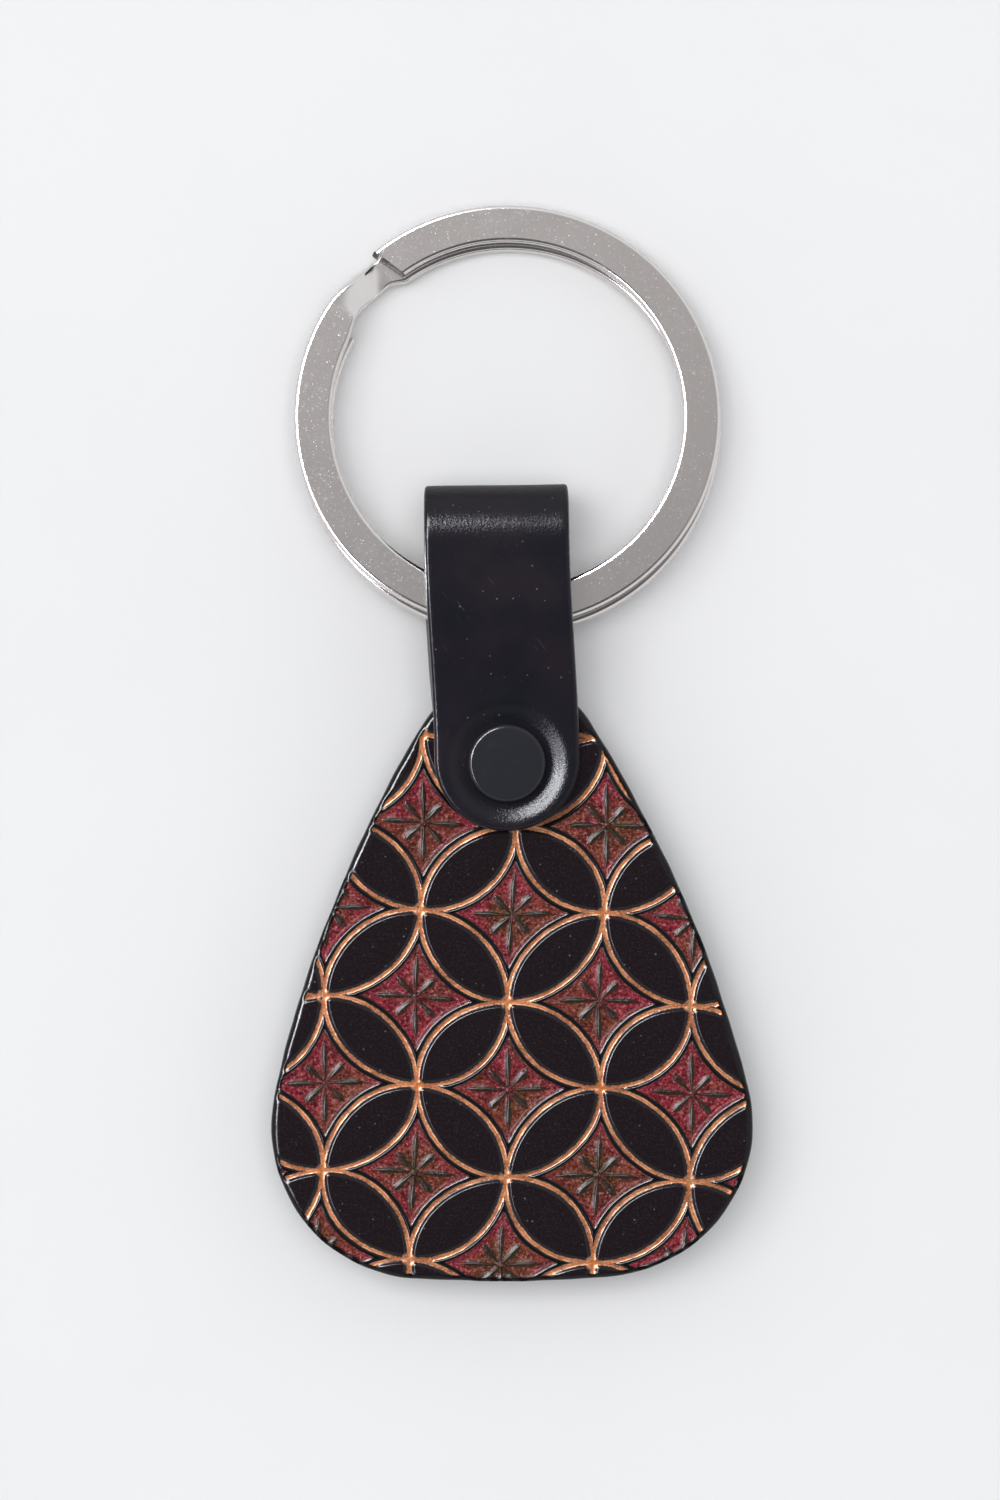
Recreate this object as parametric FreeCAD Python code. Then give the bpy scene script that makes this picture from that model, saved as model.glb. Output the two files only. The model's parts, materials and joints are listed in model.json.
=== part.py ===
"""Leather pick holder on a split key ring, lying face up.

A tooled leather leaf in the shape of a plectrum is backed by a second leaf.  Behind them a U shaped
welt and a short panel make a flat pocket, open at the top, that takes one or two guitar picks.  A
strap folds over the key ring and its two ends clasp the top of the body, where one double cap rivet
goes through everything.  The strap swivels on the rivet and the ring swings in the strap's loop.

Frame: +X to the right, +Y from the body towards the ring, +Z out of the tooled face.  The origin is
at the middle of the footprint, on the surface that the holder lies on.  Millimetres throughout.
"""

import FreeCAD, Part
import math
import os

from FreeCAD import Vector

# ---------------------------------------------------------------------------- driving dimensions

# Outline of the body, measured from the rivet's axis
TOP_RADIUS = 7.35           # round top, behind the strap
TOP_CENTRE_Y = -0.9
CORNER_RADIUS = 11.45       # the two round lower corners
CORNER_CENTRE_X = 6.55
CORNER_CENTRE_Y = -27.05
SIDE_RADIUS = 94.0          # slightly bulged long sides
BOTTOM_RADIUS = 100.0       # nearly flat lower edge

# Leather thicknesses, from the back of the holder to the front
PANEL_THICK = 1.2
WELT_THICK = 1.0
BACKING_THICK = 1.4
FRONT_THICK = 2.4
STRAP_THICK = 1.6

FRONT_EDGE_ROUND = 0.6      # bevelled and burnished edge of the tooled leaf
BACK_EDGE_ROUND = 0.35      # edge of the pocket panel
WELT_WIDTH = 2.2            # glued margin round the pocket

# Mouth of the pocket, wide enough for a plectrum's shoulders, with a thumb notch in its middle
MOUTH_Y = -17.0             # straight shoulders of the mouth, from the rivet's axis
NOTCH_RADIUS = 8.0
NOTCH_CENTRE_Y = -12.2

# Tooling of the front leaf: petals raised between the crossings of overlapping circles
TOOLING_DEPTH = 0.3
TOOLING_MARGIN = 0.75       # plain rim outside the tooling
TOOLING_STEP_X = 6.86       # from one crossing to the next
TOOLING_STEP_Y = 6.54
TOOLING_START_X = -0.26     # one crossing, from the rivet's axis
TOOLING_START_Y = -17.73
TOOLING_TURN = -2.2         # the pattern sits slightly askew, in degrees
PETAL_TIP_GAP = 0.3         # plain ground between a petal's tip and the crossing
PETAL_HALF_WIDTH = 1.78

# Strap
STRAP_WIDTH = 10.7
STRAP_END_CENTRE_Y = 0.3    # centre of the round ends, from the rivet's axis
FOLD_TOP_Y = 20.85          # outermost point of the fold, from the rivet's axis
LOOP_GAP = 5.2              # clear height inside the loop
LOOP_FLOOR = 0.1            # height of the loop's underside
BEND_START_Y = 4.6          # where the strap leaves the body
BEND_LENGTH = 5.0           # length over which it opens into the loop
SLIP = 0.02                 # play between the strap and the faces that it turns on

# Rivet
CAP_RADIUS = 2.89
HOLE_RADIUS = 1.5
BARREL_RADIUS = 1.42
BARREL_BORE = 0.95
STEM_RADIUS = 0.9
STEM_TIP_RADIUS = 0.94
FLANGE_RADIUS = 2.58
FLANGE_THICK = 0.24
FLANGE_PLAY = 0.02          # room round the flanges inside the caps
CAP_MOUTH_RADIUS = 2.2      # opening left by the rolled rim of a cap
FRONT_CAP_HEIGHT = 0.95
FRONT_CAP_SHEET = 0.22
REAR_CAP_SHEET = 0.16
CAP_EDGE_ROUND = 0.3
DISH_DEPTH = 0.28           # the rivet pulls the strap's face in round the cap
DISH_RADIUS = 4.1

# Split ring: one flat wire wound almost twice
RING_OUTER_RADIUS = 16.0
RING_INNER_RADIUS = 13.2
COIL_THICK = 1.26
COIL_GAP = 0.06
WIRE_EDGE_ROUND = 0.3
RING_CENTRE_Y = 26.05       # from the rivet's axis, along the strap
HINGE_INSET = 0.55          # swing axis, from the middle of the wire towards the ring's centre
COIL_END_ANGLE = 126.5      # where the upper coil's free end is cut, in degrees from +X
JOG_START_ANGLE = 148.5     # where the wire starts to step down
JOG_END_ANGLE = 128.5       # where it has stepped down a whole coil
LOWER_END_ANGLE = 150.5     # where the lower coil's free end is cut
LOWER_COIL_SHIFT = 0.2      # the lower coil sits this much towards the strap
JOG_SECTIONS = 9

# ---------------------------------------------------------------------------- derived heights

BODY_BACK_Z = PANEL_THICK + WELT_THICK
BODY_MID_Z = BODY_BACK_Z + BACKING_THICK
BODY_FRONT_Z = BODY_MID_Z + FRONT_THICK
LOOP_IN_LOW_Z = LOOP_FLOOR + STRAP_THICK
HINGE_Z = LOOP_IN_LOW_Z + LOOP_GAP / 2
RING_HALF_THICK = COIL_THICK + COIL_GAP / 2
WIRE_RADIUS = (RING_OUTER_RADIUS + RING_INNER_RADIUS) / 2
HINGE_TO_CENTRE = WIRE_RADIUS - HINGE_INSET
HINGE_Y = RING_CENTRE_Y - HINGE_TO_CENTRE

# The ring tilts until the round lower corner of its far side touches the ground
FAR_REACH = HINGE_TO_CENTRE + RING_OUTER_RADIUS - WIRE_EDGE_ROUND
LOW_REACH = FAR_REACH - LOWER_COIL_SHIFT
CORNER_HEIGHT = RING_HALF_THICK - WIRE_EDGE_ROUND
RING_TILT = math.asin((HINGE_Z - WIRE_EDGE_ROUND) / math.hypot(LOW_REACH, CORNER_HEIGHT)) - math.atan2(
    CORNER_HEIGHT, LOW_REACH)

# The footprint runs from the body's lower edge to the far side of the tilted ring
BOTTOM_CENTRE_Y = CORNER_CENTRE_Y + math.sqrt((BOTTOM_RADIUS - CORNER_RADIUS) ** 2 - CORNER_CENTRE_X ** 2)
BODY_LOW_Y = BOTTOM_CENTRE_Y - BOTTOM_RADIUS
RING_FAR_Y = (HINGE_Y + FAR_REACH * math.cos(RING_TILT) + CORNER_HEIGHT * math.sin(RING_TILT)
              + WIRE_EDGE_ROUND)
RIVET_Y = -(RING_FAR_Y + BODY_LOW_Y) / 2


# ---------------------------------------------------------------------------- small helpers

def at(x, y, z=0.0):
    """A point given from the rivet's axis, in the part's own frame."""
    return Vector(x, y + RIVET_Y, z)


def arc(centre, radius, start_deg, end_deg):
    """A circular edge in the XY plane from start to end, passing through the angle between them."""
    points = []
    for angle in (start_deg, (start_deg + end_deg) / 2, end_deg):
        turn = math.radians(angle)
        points.append(centre + Vector(radius * math.cos(turn), radius * math.sin(turn), 0))
    return Part.Arc(*points).toShape()


def angle_of(vector):
    """Direction of a vector in the XY plane, in degrees."""
    return math.degrees(math.atan2(vector.y, vector.x))


def cylinder(radius, low, high, x=0.0, y=0.0):
    """An upright cylinder, placed from the rivet's axis."""
    return Part.makeCylinder(radius, high - low, at(x, y, low), Vector(0, 0, 1))


def slab(x0, x1, y0, y1, z0, z1):
    """A box between two corners, placed from the rivet's axis."""
    return Part.makeBox(x1 - x0, y1 - y0, z1 - z0, at(x0, y0, z0))


def revolve(points):
    """A solid of revolution about the rivet's axis from (radius, height) points."""
    corners = [at(r, 0, z) for r, z in points]
    face = Part.Face(Part.makePolygon(corners + corners[:1]))
    return face.revolve(at(0, 0, 0), Vector(0, 0, 1), 360)


def round_edges(solid, radius, wanted):
    """Fillets the edges whose bounding box the wanted test accepts."""
    edges = [e for e in solid.Edges if wanted(e)]
    return solid.makeFillet(radius, edges)


def lies_at(height):
    """A test for edges that lie flat at one height, away from the rivet's hole."""
    def test(edge):
        box = edge.BoundBox
        flat = abs(box.ZMin - height) < 1e-6 and abs(box.ZMax - height) < 1e-6
        centre = edge.CenterOfMass - at(0, 0, height)
        return flat and math.hypot(centre.x, centre.y) > CAP_RADIUS
    return test


# ---------------------------------------------------------------------------- body outline

def side_centre():
    """Centre of the right side's arc, tangent inside to the top arc and to the corner arc."""
    top = Vector(0, TOP_CENTRE_Y, 0)
    corner = Vector(CORNER_CENTRE_X, CORNER_CENTRE_Y, 0)
    to_top = SIDE_RADIUS - TOP_RADIUS
    to_corner = SIDE_RADIUS - CORNER_RADIUS
    apart = corner - top
    along = (to_top ** 2 - to_corner ** 2 + apart.Length ** 2) / (2 * apart.Length)
    aside = math.sqrt(to_top ** 2 - along ** 2)
    unit = Vector(apart).normalize()
    across = Vector(unit.y, -unit.x, 0)
    return top + unit * along + across * aside


def outline(inset=0.0):
    """The body's outline as a closed wire of six tangent arcs, moved inwards by inset."""
    top = Vector(0, TOP_CENTRE_Y, 0)
    right = Vector(CORNER_CENTRE_X, CORNER_CENTRE_Y, 0)
    side = side_centre()
    bottom = Vector(0, BOTTOM_CENTRE_Y, 0)
    side_top = angle_of(top - side)
    side_low = angle_of(right - side)
    corner_low = angle_of(right - bottom)
    edges = []
    for mirror in (1, -1):
        def put(centre, radius, start, end):
            if mirror < 0:
                centre = Vector(-centre.x, centre.y, 0)
                start, end = 180 - start, 180 - end
            edges.append(arc(at(centre.x, centre.y), radius - inset, start, end))
        put(top, TOP_RADIUS, 90, side_top)
        put(side, SIDE_RADIUS, side_top, side_low)
        put(right, CORNER_RADIUS, side_low, corner_low)
        put(bottom, BOTTOM_RADIUS, corner_low, -90)
    return Part.Wire(Part.__sortEdges__(edges))


def leaf(low, high, inset=0.0):
    """A sheet of leather with the body's outline between two heights."""
    face = Part.Face(outline(inset))
    face.translate(Vector(0, 0, low))
    return face.extrude(Vector(0, 0, high - low))


# ---------------------------------------------------------------------------- leather of the body

def crossing(column, row):
    """Where two circles of the tooling cross; columns and rows are both odd or both even."""
    x, y = column * TOOLING_STEP_X, row * TOOLING_STEP_Y
    turn = math.radians(TOOLING_TURN)
    return Vector(TOOLING_START_X + x * math.cos(turn) - y * math.sin(turn),
                  TOOLING_START_Y + x * math.sin(turn) + y * math.cos(turn), 0)


def petal(start, end):
    """One raised petal between two crossings, as an upright prism."""
    along = (end - start).normalize()
    across = Vector(-along.y, along.x, 0)
    first = start + along * PETAL_TIP_GAP
    last = end - along * PETAL_TIP_GAP
    middle = (first + last) / 2
    first, last, middle = (at(v.x, v.y, BODY_FRONT_Z - 2 * TOOLING_DEPTH) for v in (first, last, middle))
    edges = [Part.Arc(first, middle + across * PETAL_HALF_WIDTH, last).toShape(),
             Part.Arc(last, middle - across * PETAL_HALF_WIDTH, first).toShape()]
    return Part.Face(Part.Wire(edges)).extrude(Vector(0, 0, 4 * TOOLING_DEPTH))


def tooled_ground():
    """The space pressed down round the petals."""
    low = BODY_FRONT_Z - TOOLING_DEPTH
    ground = leaf(low, BODY_FRONT_Z + 1, TOOLING_MARGIN).cut(cylinder(STRAP_WIDTH / 2, low - 1, low + 2))
    petals = []
    for row in range(-4, 5):
        for column in range(-3, 4):
            if (row + column) % 2 == 0:
                for side in (1, -1):
                    petals.append(petal(crossing(column, row), crossing(column + side, row + 1)))
    return ground.cut(petals)


def front_leaf():
    """The tooled leaf, with its front edge rounded over."""
    solid = leaf(BODY_MID_Z, BODY_FRONT_Z).cut(cylinder(HOLE_RADIUS, BODY_MID_Z - 1, BODY_FRONT_Z + 1))
    solid = round_edges(solid, FRONT_EDGE_ROUND, lies_at(BODY_FRONT_Z))
    return solid.cut(tooled_ground())


def backing_leaf():
    """The plain leaf glued behind the tooled one."""
    return leaf(BODY_BACK_Z, BODY_MID_Z).cut(cylinder(HOLE_RADIUS, BODY_BACK_Z - 1, BODY_MID_Z + 1))


def above_mouth(low, high):
    """The space above the pocket's mouth, with the finger notch."""
    half = 2 * CORNER_RADIUS
    block = slab(-half, half, MOUTH_Y, half, low - 1, high + 1)
    return block.fuse(cylinder(NOTCH_RADIUS, low - 1, high + 1, 0, NOTCH_CENTRE_Y))


def pocket_welt():
    """The U shaped strip that holds the pocket open."""
    ring = leaf(PANEL_THICK, BODY_BACK_Z).cut(leaf(PANEL_THICK - 1, BODY_BACK_Z + 1, WELT_WIDTH))
    return ring.cut(above_mouth(PANEL_THICK, BODY_BACK_Z))


def pocket_panel():
    """The short rear panel of the pocket, with its outer edge rounded."""
    solid = leaf(0, PANEL_THICK).cut(above_mouth(0, PANEL_THICK))
    return round_edges(solid, BACK_EDGE_ROUND, lies_at(0))


# ---------------------------------------------------------------------------- strap

class Ribbon:
    """Walks a centre line in the YZ plane and keeps both faces of a strip of constant thickness."""

    def __init__(self, y, z, thick):
        self.place = Vector(0, y, z)
        self.heading = 0.0
        self.half = thick / 2
        self.left = []
        self.right = []

    def _normal(self, heading):
        return Vector(0, -math.sin(heading), math.cos(heading))

    def line(self, length):
        """Goes straight on by length."""
        start = self.place
        self.place = start + Vector(0, math.cos(self.heading), math.sin(self.heading)) * length
        offset = self._normal(self.heading) * self.half
        self.left.append(Part.LineSegment(start + offset, self.place + offset).toShape())
        self.right.append(Part.LineSegment(start - offset, self.place - offset).toShape())

    def turn(self, radius, degrees):
        """Turns on a radius of the centre line; positive turns from +Y towards +Z."""
        angle = math.radians(degrees)
        side = 1 if angle > 0 else -1
        centre = self.place + self._normal(self.heading) * radius * side
        stops = [self.heading + angle * part for part in (0, 0.5, 1)]
        for rail, shift in ((self.left, -self.half * side), (self.right, self.half * side)):
            spots = [centre - self._normal(h) * side * (radius + shift) for h in stops]
            rail.append(Part.Arc(*spots).toShape())
        self.heading = stops[2]
        self.place = centre - self._normal(self.heading) * side * radius

    def solid(self, width):
        """The strip as a solid, width wide, centred on X = 0."""
        ends = []
        for a, b in ((self.left[0].firstVertex(), self.right[0].firstVertex()),
                     (self.left[-1].lastVertex(), self.right[-1].lastVertex())):
            ends.append(Part.LineSegment(a.Point, b.Point).toShape())
        wire = Part.Wire(Part.__sortEdges__(self.left + self.right + ends))
        face = Part.Face(wire)
        face.translate(Vector(-width / 2, 0, 0))
        return face.extrude(Vector(width, 0, 0))


def strap():
    """The folded strap, with round ends and a hole through both of its ends."""
    half = STRAP_THICK / 2
    start_y = -STRAP_WIDTH
    rear_z = BODY_BACK_Z - SLIP - half
    front_z = BODY_FRONT_Z + SLIP + half
    drop = rear_z - (LOOP_IN_LOW_Z - half)
    rise = (LOOP_IN_LOW_Z + LOOP_GAP + half) - front_z
    fold_radius = LOOP_GAP / 2 + half
    fold_y = FOLD_TOP_Y - fold_radius - half
    walk = Ribbon(RIVET_Y + start_y, rear_z, STRAP_THICK)

    def bend(height, sign):
        """Moves the strip sideways by height over BEND_LENGTH, in two opposite arcs."""
        angle = 2 * math.atan2(height, BEND_LENGTH)
        radius = BEND_LENGTH / (2 * math.sin(angle))
        walk.turn(radius, sign * math.degrees(angle))
        walk.turn(radius, -sign * math.degrees(angle))

    walk.line(BEND_START_Y - start_y)
    bend(drop, -1)
    walk.line(fold_y - BEND_START_Y - BEND_LENGTH)
    walk.turn(fold_radius, 180)
    walk.line(fold_y - BEND_START_Y - BEND_LENGTH)
    bend(rise, 1)
    walk.line(BEND_START_Y - start_y)
    strip = walk.solid(STRAP_WIDTH)

    plan = cylinder(STRAP_WIDTH / 2, -1, 12, 0, STRAP_END_CENTRE_Y).fuse(
        slab(-STRAP_WIDTH / 2, STRAP_WIDTH / 2, STRAP_END_CENTRE_Y, FOLD_TOP_Y + 1, -1, 12))
    solid = strip.common(plan).cut(cylinder(HOLE_RADIUS, -1, 12))
    top = BODY_FRONT_Z + SLIP + STRAP_THICK
    dish = revolve([(0, top - DISH_DEPTH), (CAP_RADIUS + 0.05, top - DISH_DEPTH), (DISH_RADIUS, top),
                    (DISH_RADIUS, top + 1), (0, top + 1)])
    return solid.cut(dish).removeSplitter()


# ---------------------------------------------------------------------------- rivet

FRONT_SEAT_Z = BODY_FRONT_Z + 2 * SLIP + STRAP_THICK - DISH_DEPTH
REAR_SEAT_Z = BODY_BACK_Z - 2 * SLIP - STRAP_THICK


def rivet_front_cap():
    """The drawn cap on the tooled side, its rim closed under the barrel's flange."""
    top = FRONT_SEAT_Z + FRONT_CAP_HEIGHT
    shell = revolve([(0, FRONT_SEAT_Z), (CAP_RADIUS, FRONT_SEAT_Z), (CAP_RADIUS, top - 0.08), (0, top)])
    rim = [e for e in shell.Edges if e.BoundBox.ZMin > top - 0.2 and e.BoundBox.XLength > CAP_RADIUS]
    shell = shell.makeFillet(CAP_EDGE_ROUND, rim)
    inner_top = top - FRONT_CAP_SHEET - 0.1
    inner_low = FRONT_SEAT_Z + FRONT_CAP_SHEET
    wall = FLANGE_RADIUS + FLANGE_PLAY
    hollow = revolve([(0, inner_low), (wall, inner_low), (wall, inner_top - 0.15), (0, inner_top)])
    mouth = cylinder(CAP_MOUTH_RADIUS, FRONT_SEAT_Z - 1, FRONT_SEAT_Z + 0.5 * FRONT_CAP_HEIGHT)
    return shell.cut(hollow).cut(mouth)


def rivet_barrel():
    """The hollow barrel under the front cap, open towards the back."""
    low = REAR_SEAT_Z + 0.1
    flange_low = FRONT_SEAT_Z + FRONT_CAP_SHEET + FLANGE_PLAY / 2
    flange_high = flange_low + FLANGE_THICK
    body = cylinder(BARREL_RADIUS, low, flange_high).fuse(cylinder(FLANGE_RADIUS, flange_low, flange_high))
    return body.cut(cylinder(BARREL_BORE, low - 1, flange_low - 0.3)).removeSplitter()


def rivet_rear_cap():
    """The low cap on the pocket side, its rim closed over the stem's flange."""
    shell = revolve([(0, 0), (CAP_RADIUS, 0), (CAP_RADIUS, REAR_SEAT_Z), (0, REAR_SEAT_Z)])
    rim = [e for e in shell.Edges if e.BoundBox.ZMax < 0.01 and e.BoundBox.XLength > CAP_RADIUS]
    shell = shell.makeFillet(0.5 * CAP_EDGE_ROUND, rim)
    hollow = cylinder(FLANGE_RADIUS + FLANGE_PLAY, REAR_CAP_SHEET, REAR_SEAT_Z - REAR_CAP_SHEET)
    return shell.cut(hollow).cut(cylinder(CAP_MOUTH_RADIUS, 0.5 * REAR_SEAT_Z, REAR_SEAT_Z + 1))


def rivet_stem():
    """The solid stem on the rear flange, its tip swollen inside the barrel."""
    low = REAR_CAP_SHEET + FLANGE_PLAY / 2
    flange_top = REAR_SEAT_Z - REAR_CAP_SHEET - FLANGE_PLAY / 2
    tip = FRONT_SEAT_Z - 0.4
    return revolve([(0, low), (FLANGE_RADIUS, low), (FLANGE_RADIUS, flange_top), (STEM_RADIUS, flange_top),
                    (STEM_RADIUS, tip - 1.2), (STEM_TIP_RADIUS, tip - 0.8), (STEM_TIP_RADIUS, tip - 0.3),
                    (0.5 * STEM_RADIUS, tip), (0, tip)])


# ---------------------------------------------------------------------------- split ring

def wire_section(turn_deg, height, shift):
    """The wire's cross section at one angle round the ring, as a closed wire with round corners."""
    r0, r1 = RING_INNER_RADIUS, RING_OUTER_RADIUS
    half = COIL_THICK / 2
    c = WIRE_EDGE_ROUND
    k = c * (1 - math.sqrt(0.5))
    sides = [((r0 + c, -half), (r1 - c, -half)), ((r1, -half + c), (r1, half - c)),
             ((r1 - c, half), (r0 + c, half)), ((r0, half - c), (r0, -half + c))]
    middles = [(r1 - k, -half + k), (r1 - k, half - k), (r0 + k, half - k), (r0 + k, -half + k)]
    turn = math.radians(turn_deg)
    outwards = Vector(math.cos(turn), math.sin(turn), 0)

    def put(point):
        return outwards * point[0] + Vector(0, -shift, point[1] + height)

    edges = []
    for index, (start, end) in enumerate(sides):
        after = sides[(index + 1) % 4][0]
        edges.append(Part.LineSegment(put(start), put(end)).toShape())
        edges.append(Part.Arc(put(end), put(middles[index]), put(after)).toShape())
    return Part.Wire(edges)


def coil(start_deg, end_deg, height, shift):
    """One coil of the wire, from a start angle on to a smaller end angle."""
    face = Part.Face(wire_section(start_deg, height, shift))
    return face.revolve(Vector(0, -shift, 0), Vector(0, 0, 1), end_deg - start_deg)


def split_ring():
    """The flat wire: an upper coil, the step down and a lower coil, tilted about the swing axis."""
    level = (COIL_THICK + COIL_GAP) / 2
    upper = coil(COIL_END_ANGLE, JOG_START_ANGLE - 360, level, 0.0)
    lower = coil(JOG_END_ANGLE, LOWER_END_ANGLE - 360, -level, LOWER_COIL_SHIFT)
    sections = []
    for index in range(JOG_SECTIONS):
        part = index / (JOG_SECTIONS - 1)
        eased = part * part * (3 - 2 * part)
        turn = JOG_START_ANGLE + (JOG_END_ANGLE - JOG_START_ANGLE) * part
        sections.append(wire_section(turn, level * (1 - 2 * eased), LOWER_COIL_SHIFT * eased))
    step = Part.makeLoft(sections, True, False)
    ring = upper.fuse([step, lower])
    ring.translate(at(0, RING_CENTRE_Y, HINGE_Z))
    ring.rotate(at(0, HINGE_Y, HINGE_Z), Vector(1, 0, 0), -math.degrees(RING_TILT))
    return ring


# ---------------------------------------------------------------------------- build

PARTS = {
    "front_leaf": front_leaf,
    "backing_leaf": backing_leaf,
    "pocket_welt": pocket_welt,
    "pocket_panel": pocket_panel,
    "strap": strap,
    "rivet_front_cap": rivet_front_cap,
    "rivet_barrel": rivet_barrel,
    "rivet_rear_cap": rivet_rear_cap,
    "rivet_stem": rivet_stem,
    "split_ring": split_ring,
}


def main():
    """Builds every piece, reports it and writes its STEP file."""
    os.makedirs("parts", exist_ok=True)
    print(f"rivet y {RIVET_Y:.3f}, hinge y {HINGE_Y + RIVET_Y:.3f} z {HINGE_Z:.3f}, "
          f"ring tilt {math.degrees(RING_TILT):.3f} deg")
    for name, build in PARTS.items():
        shape = build()
        box = shape.BoundBox
        print(f"{name:16s} solids {len(shape.Solids)} valid {shape.isValid()} volume {shape.Volume:8.2f} "
              f"x {box.XMin:7.2f} {box.XMax:7.2f} y {box.YMin:7.2f} {box.YMax:7.2f} "
              f"z {box.ZMin:6.2f} {box.ZMax:6.2f}")
        shape.exportStep(f"parts/{name}.step")


main()
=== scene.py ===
"""Looks of a leather pick holder with a folded strap and a split key ring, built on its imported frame.

Sizes are in millimetres, apart from the studio's, which are in metres.  Plan sizes of the leather
are measured from the rivet's axis, with Y towards the ring; meshes are written in metres in the
frame's own axes.
"""

import json
import logging
import math
from collections.abc import Callable, Iterable
from dataclasses import dataclass, field
from enum import Enum
from typing import NamedTuple

import bpy
import numpy as np
from mathutils import Matrix, Vector
from mathutils.geometry import delaunay_2d_cdt


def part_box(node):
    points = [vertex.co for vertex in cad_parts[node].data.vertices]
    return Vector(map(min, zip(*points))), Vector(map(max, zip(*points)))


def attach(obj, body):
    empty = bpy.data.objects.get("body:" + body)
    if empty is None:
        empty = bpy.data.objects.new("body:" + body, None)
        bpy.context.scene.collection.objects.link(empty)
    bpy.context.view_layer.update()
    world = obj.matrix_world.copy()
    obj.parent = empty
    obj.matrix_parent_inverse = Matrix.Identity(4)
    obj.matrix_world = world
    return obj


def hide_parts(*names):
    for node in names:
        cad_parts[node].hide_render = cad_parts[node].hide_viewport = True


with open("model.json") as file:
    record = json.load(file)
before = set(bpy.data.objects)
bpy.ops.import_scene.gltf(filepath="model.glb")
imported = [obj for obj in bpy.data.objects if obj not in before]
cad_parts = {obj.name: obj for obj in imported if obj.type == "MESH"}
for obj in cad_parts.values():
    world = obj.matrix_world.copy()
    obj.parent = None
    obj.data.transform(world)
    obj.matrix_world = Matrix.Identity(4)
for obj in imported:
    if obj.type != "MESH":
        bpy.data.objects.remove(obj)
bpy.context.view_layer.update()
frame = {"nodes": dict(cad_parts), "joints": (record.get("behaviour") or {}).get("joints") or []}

MM = 0.001
LOG = logging.getLogger("pick_holder")
OUTLINE_SPACING = 0.16
WELD_DISTANCE = 0.0005
HOLE_POINTS = 32
EDGE_ANGLES = (18, 36, 54, 72, 90)
TRIANGLE_ROW = 0.866

Array = np.ndarray
Colour = tuple[float, float, float]
Relief = Callable[[Array, Array], Array]
Bend = Callable[[Array], Array]


def heights(node: str) -> tuple[float, float]:
    """Lowest and highest Z of a node of the frame, in millimetres.

    Args:
        node: name of the node.

    Returns:
        The two heights.
    """
    low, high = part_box(node)
    return low.z / MM, high.z / MM


def axis_of(node: str) -> tuple[float, float]:
    """Middle of a node in plan, in millimetres.

    Args:
        node: name of the node.

    Returns:
        X and Y of the middle.
    """
    low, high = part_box(node)
    return (low.x + high.x) / 2 / MM, (low.y + high.y) / 2 / MM


RIVET_X, RIVET_Y = axis_of("rivet_front_cap")


# ------------------------------------------------------------------------------------ node graphs

class Wire:
    """One value in a node tree; arithmetic on it adds further nodes."""

    def __init__(self, tree: bpy.types.NodeTree, socket: bpy.types.NodeSocket) -> None:
        """Keeps the tree and the socket that carries the value."""
        self.tree = tree
        self.socket = socket

    def math(self, operation: str, *others: "Wire | float") -> "Wire":
        """Adds a math node.

        Args:
            operation: Blender's name of the operation.
            others: the further operands.

        Returns:
            The node's result.
        """
        node = self.tree.nodes.new("ShaderNodeMath")
        node.operation = operation
        for socket, value in zip(node.inputs, (self, *others)):
            feed(socket, value)
        return Wire(self.tree, node.outputs[0])

    def __add__(self, other: "Wire | float") -> "Wire":
        """Sum."""
        return self.math("ADD", other)

    def __sub__(self, other: "Wire | float") -> "Wire":
        """Difference."""
        return self.math("SUBTRACT", other)

    def __mul__(self, other: "Wire | float") -> "Wire":
        """Product."""
        return self.math("MULTIPLY", other)

    def __truediv__(self, other: "Wire | float") -> "Wire":
        """Quotient."""
        return self.math("DIVIDE", other)

    def __neg__(self) -> "Wire":
        """Opposite."""
        return self * -1.0

    __radd__ = __add__
    __rmul__ = __mul__

    def __rsub__(self, other: float) -> "Wire":
        """Difference from a plain number."""
        return -self + other

    def step(self, low: "Wire | float", high: "Wire | float") -> "Wire":
        """Rises smoothly from 0 at low to 1 at high.

        Args:
            low: where the rise starts.
            high: where it ends.

        Returns:
            The share of the rise.
        """
        return self.ramp(low, high, "SMOOTHSTEP")

    def ramp(self, low: "Wire | float", high: "Wire | float", kind: str = "LINEAR") -> "Wire":
        """Rises evenly from 0 at low to 1 at high.

        Args:
            low: where the rise starts.
            high: where it ends.
            kind: Blender's name of the way it rises.

        Returns:
            The share of the rise.
        """
        node = self.tree.nodes.new("ShaderNodeMapRange")
        node.interpolation_type = kind
        feed(node.inputs["Value"], self)
        feed(node.inputs["From Min"], low)
        feed(node.inputs["From Max"], high)
        return Wire(self.tree, node.outputs["Result"])

    def between(self, low: "Wire | float", high: "Wire | float") -> "Wire":
        """Mixes two values by this share.

        Args:
            low: value at share 0.
            high: value at share 1.

        Returns:
            The mixed value.
        """
        node = self.tree.nodes.new("ShaderNodeMix")
        feed(node.inputs["Factor"], self)
        feed(node.inputs["A"], low)
        feed(node.inputs["B"], high)
        return Wire(self.tree, node.outputs["Result"])


def feed(socket: bpy.types.NodeSocket, value: "Wire | float | Iterable[float]") -> None:
    """Links a wire to a socket, or sets the socket's own value.

    Args:
        socket: the input to feed.
        value: a wire, a number or a vector.
    """
    if isinstance(value, Wire):
        value.tree.links.new(value.socket, socket)
    else:
        socket.default_value = value


def split(vector: Wire) -> tuple[Wire, Wire, Wire]:
    """Separates a vector into its three parts.

    Args:
        vector: the vector.

    Returns:
        Its X, Y and Z.
    """
    node = vector.tree.nodes.new("ShaderNodeSeparateXYZ")
    feed(node.inputs[0], vector)
    return tuple(Wire(vector.tree, output) for output in node.outputs)


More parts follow.
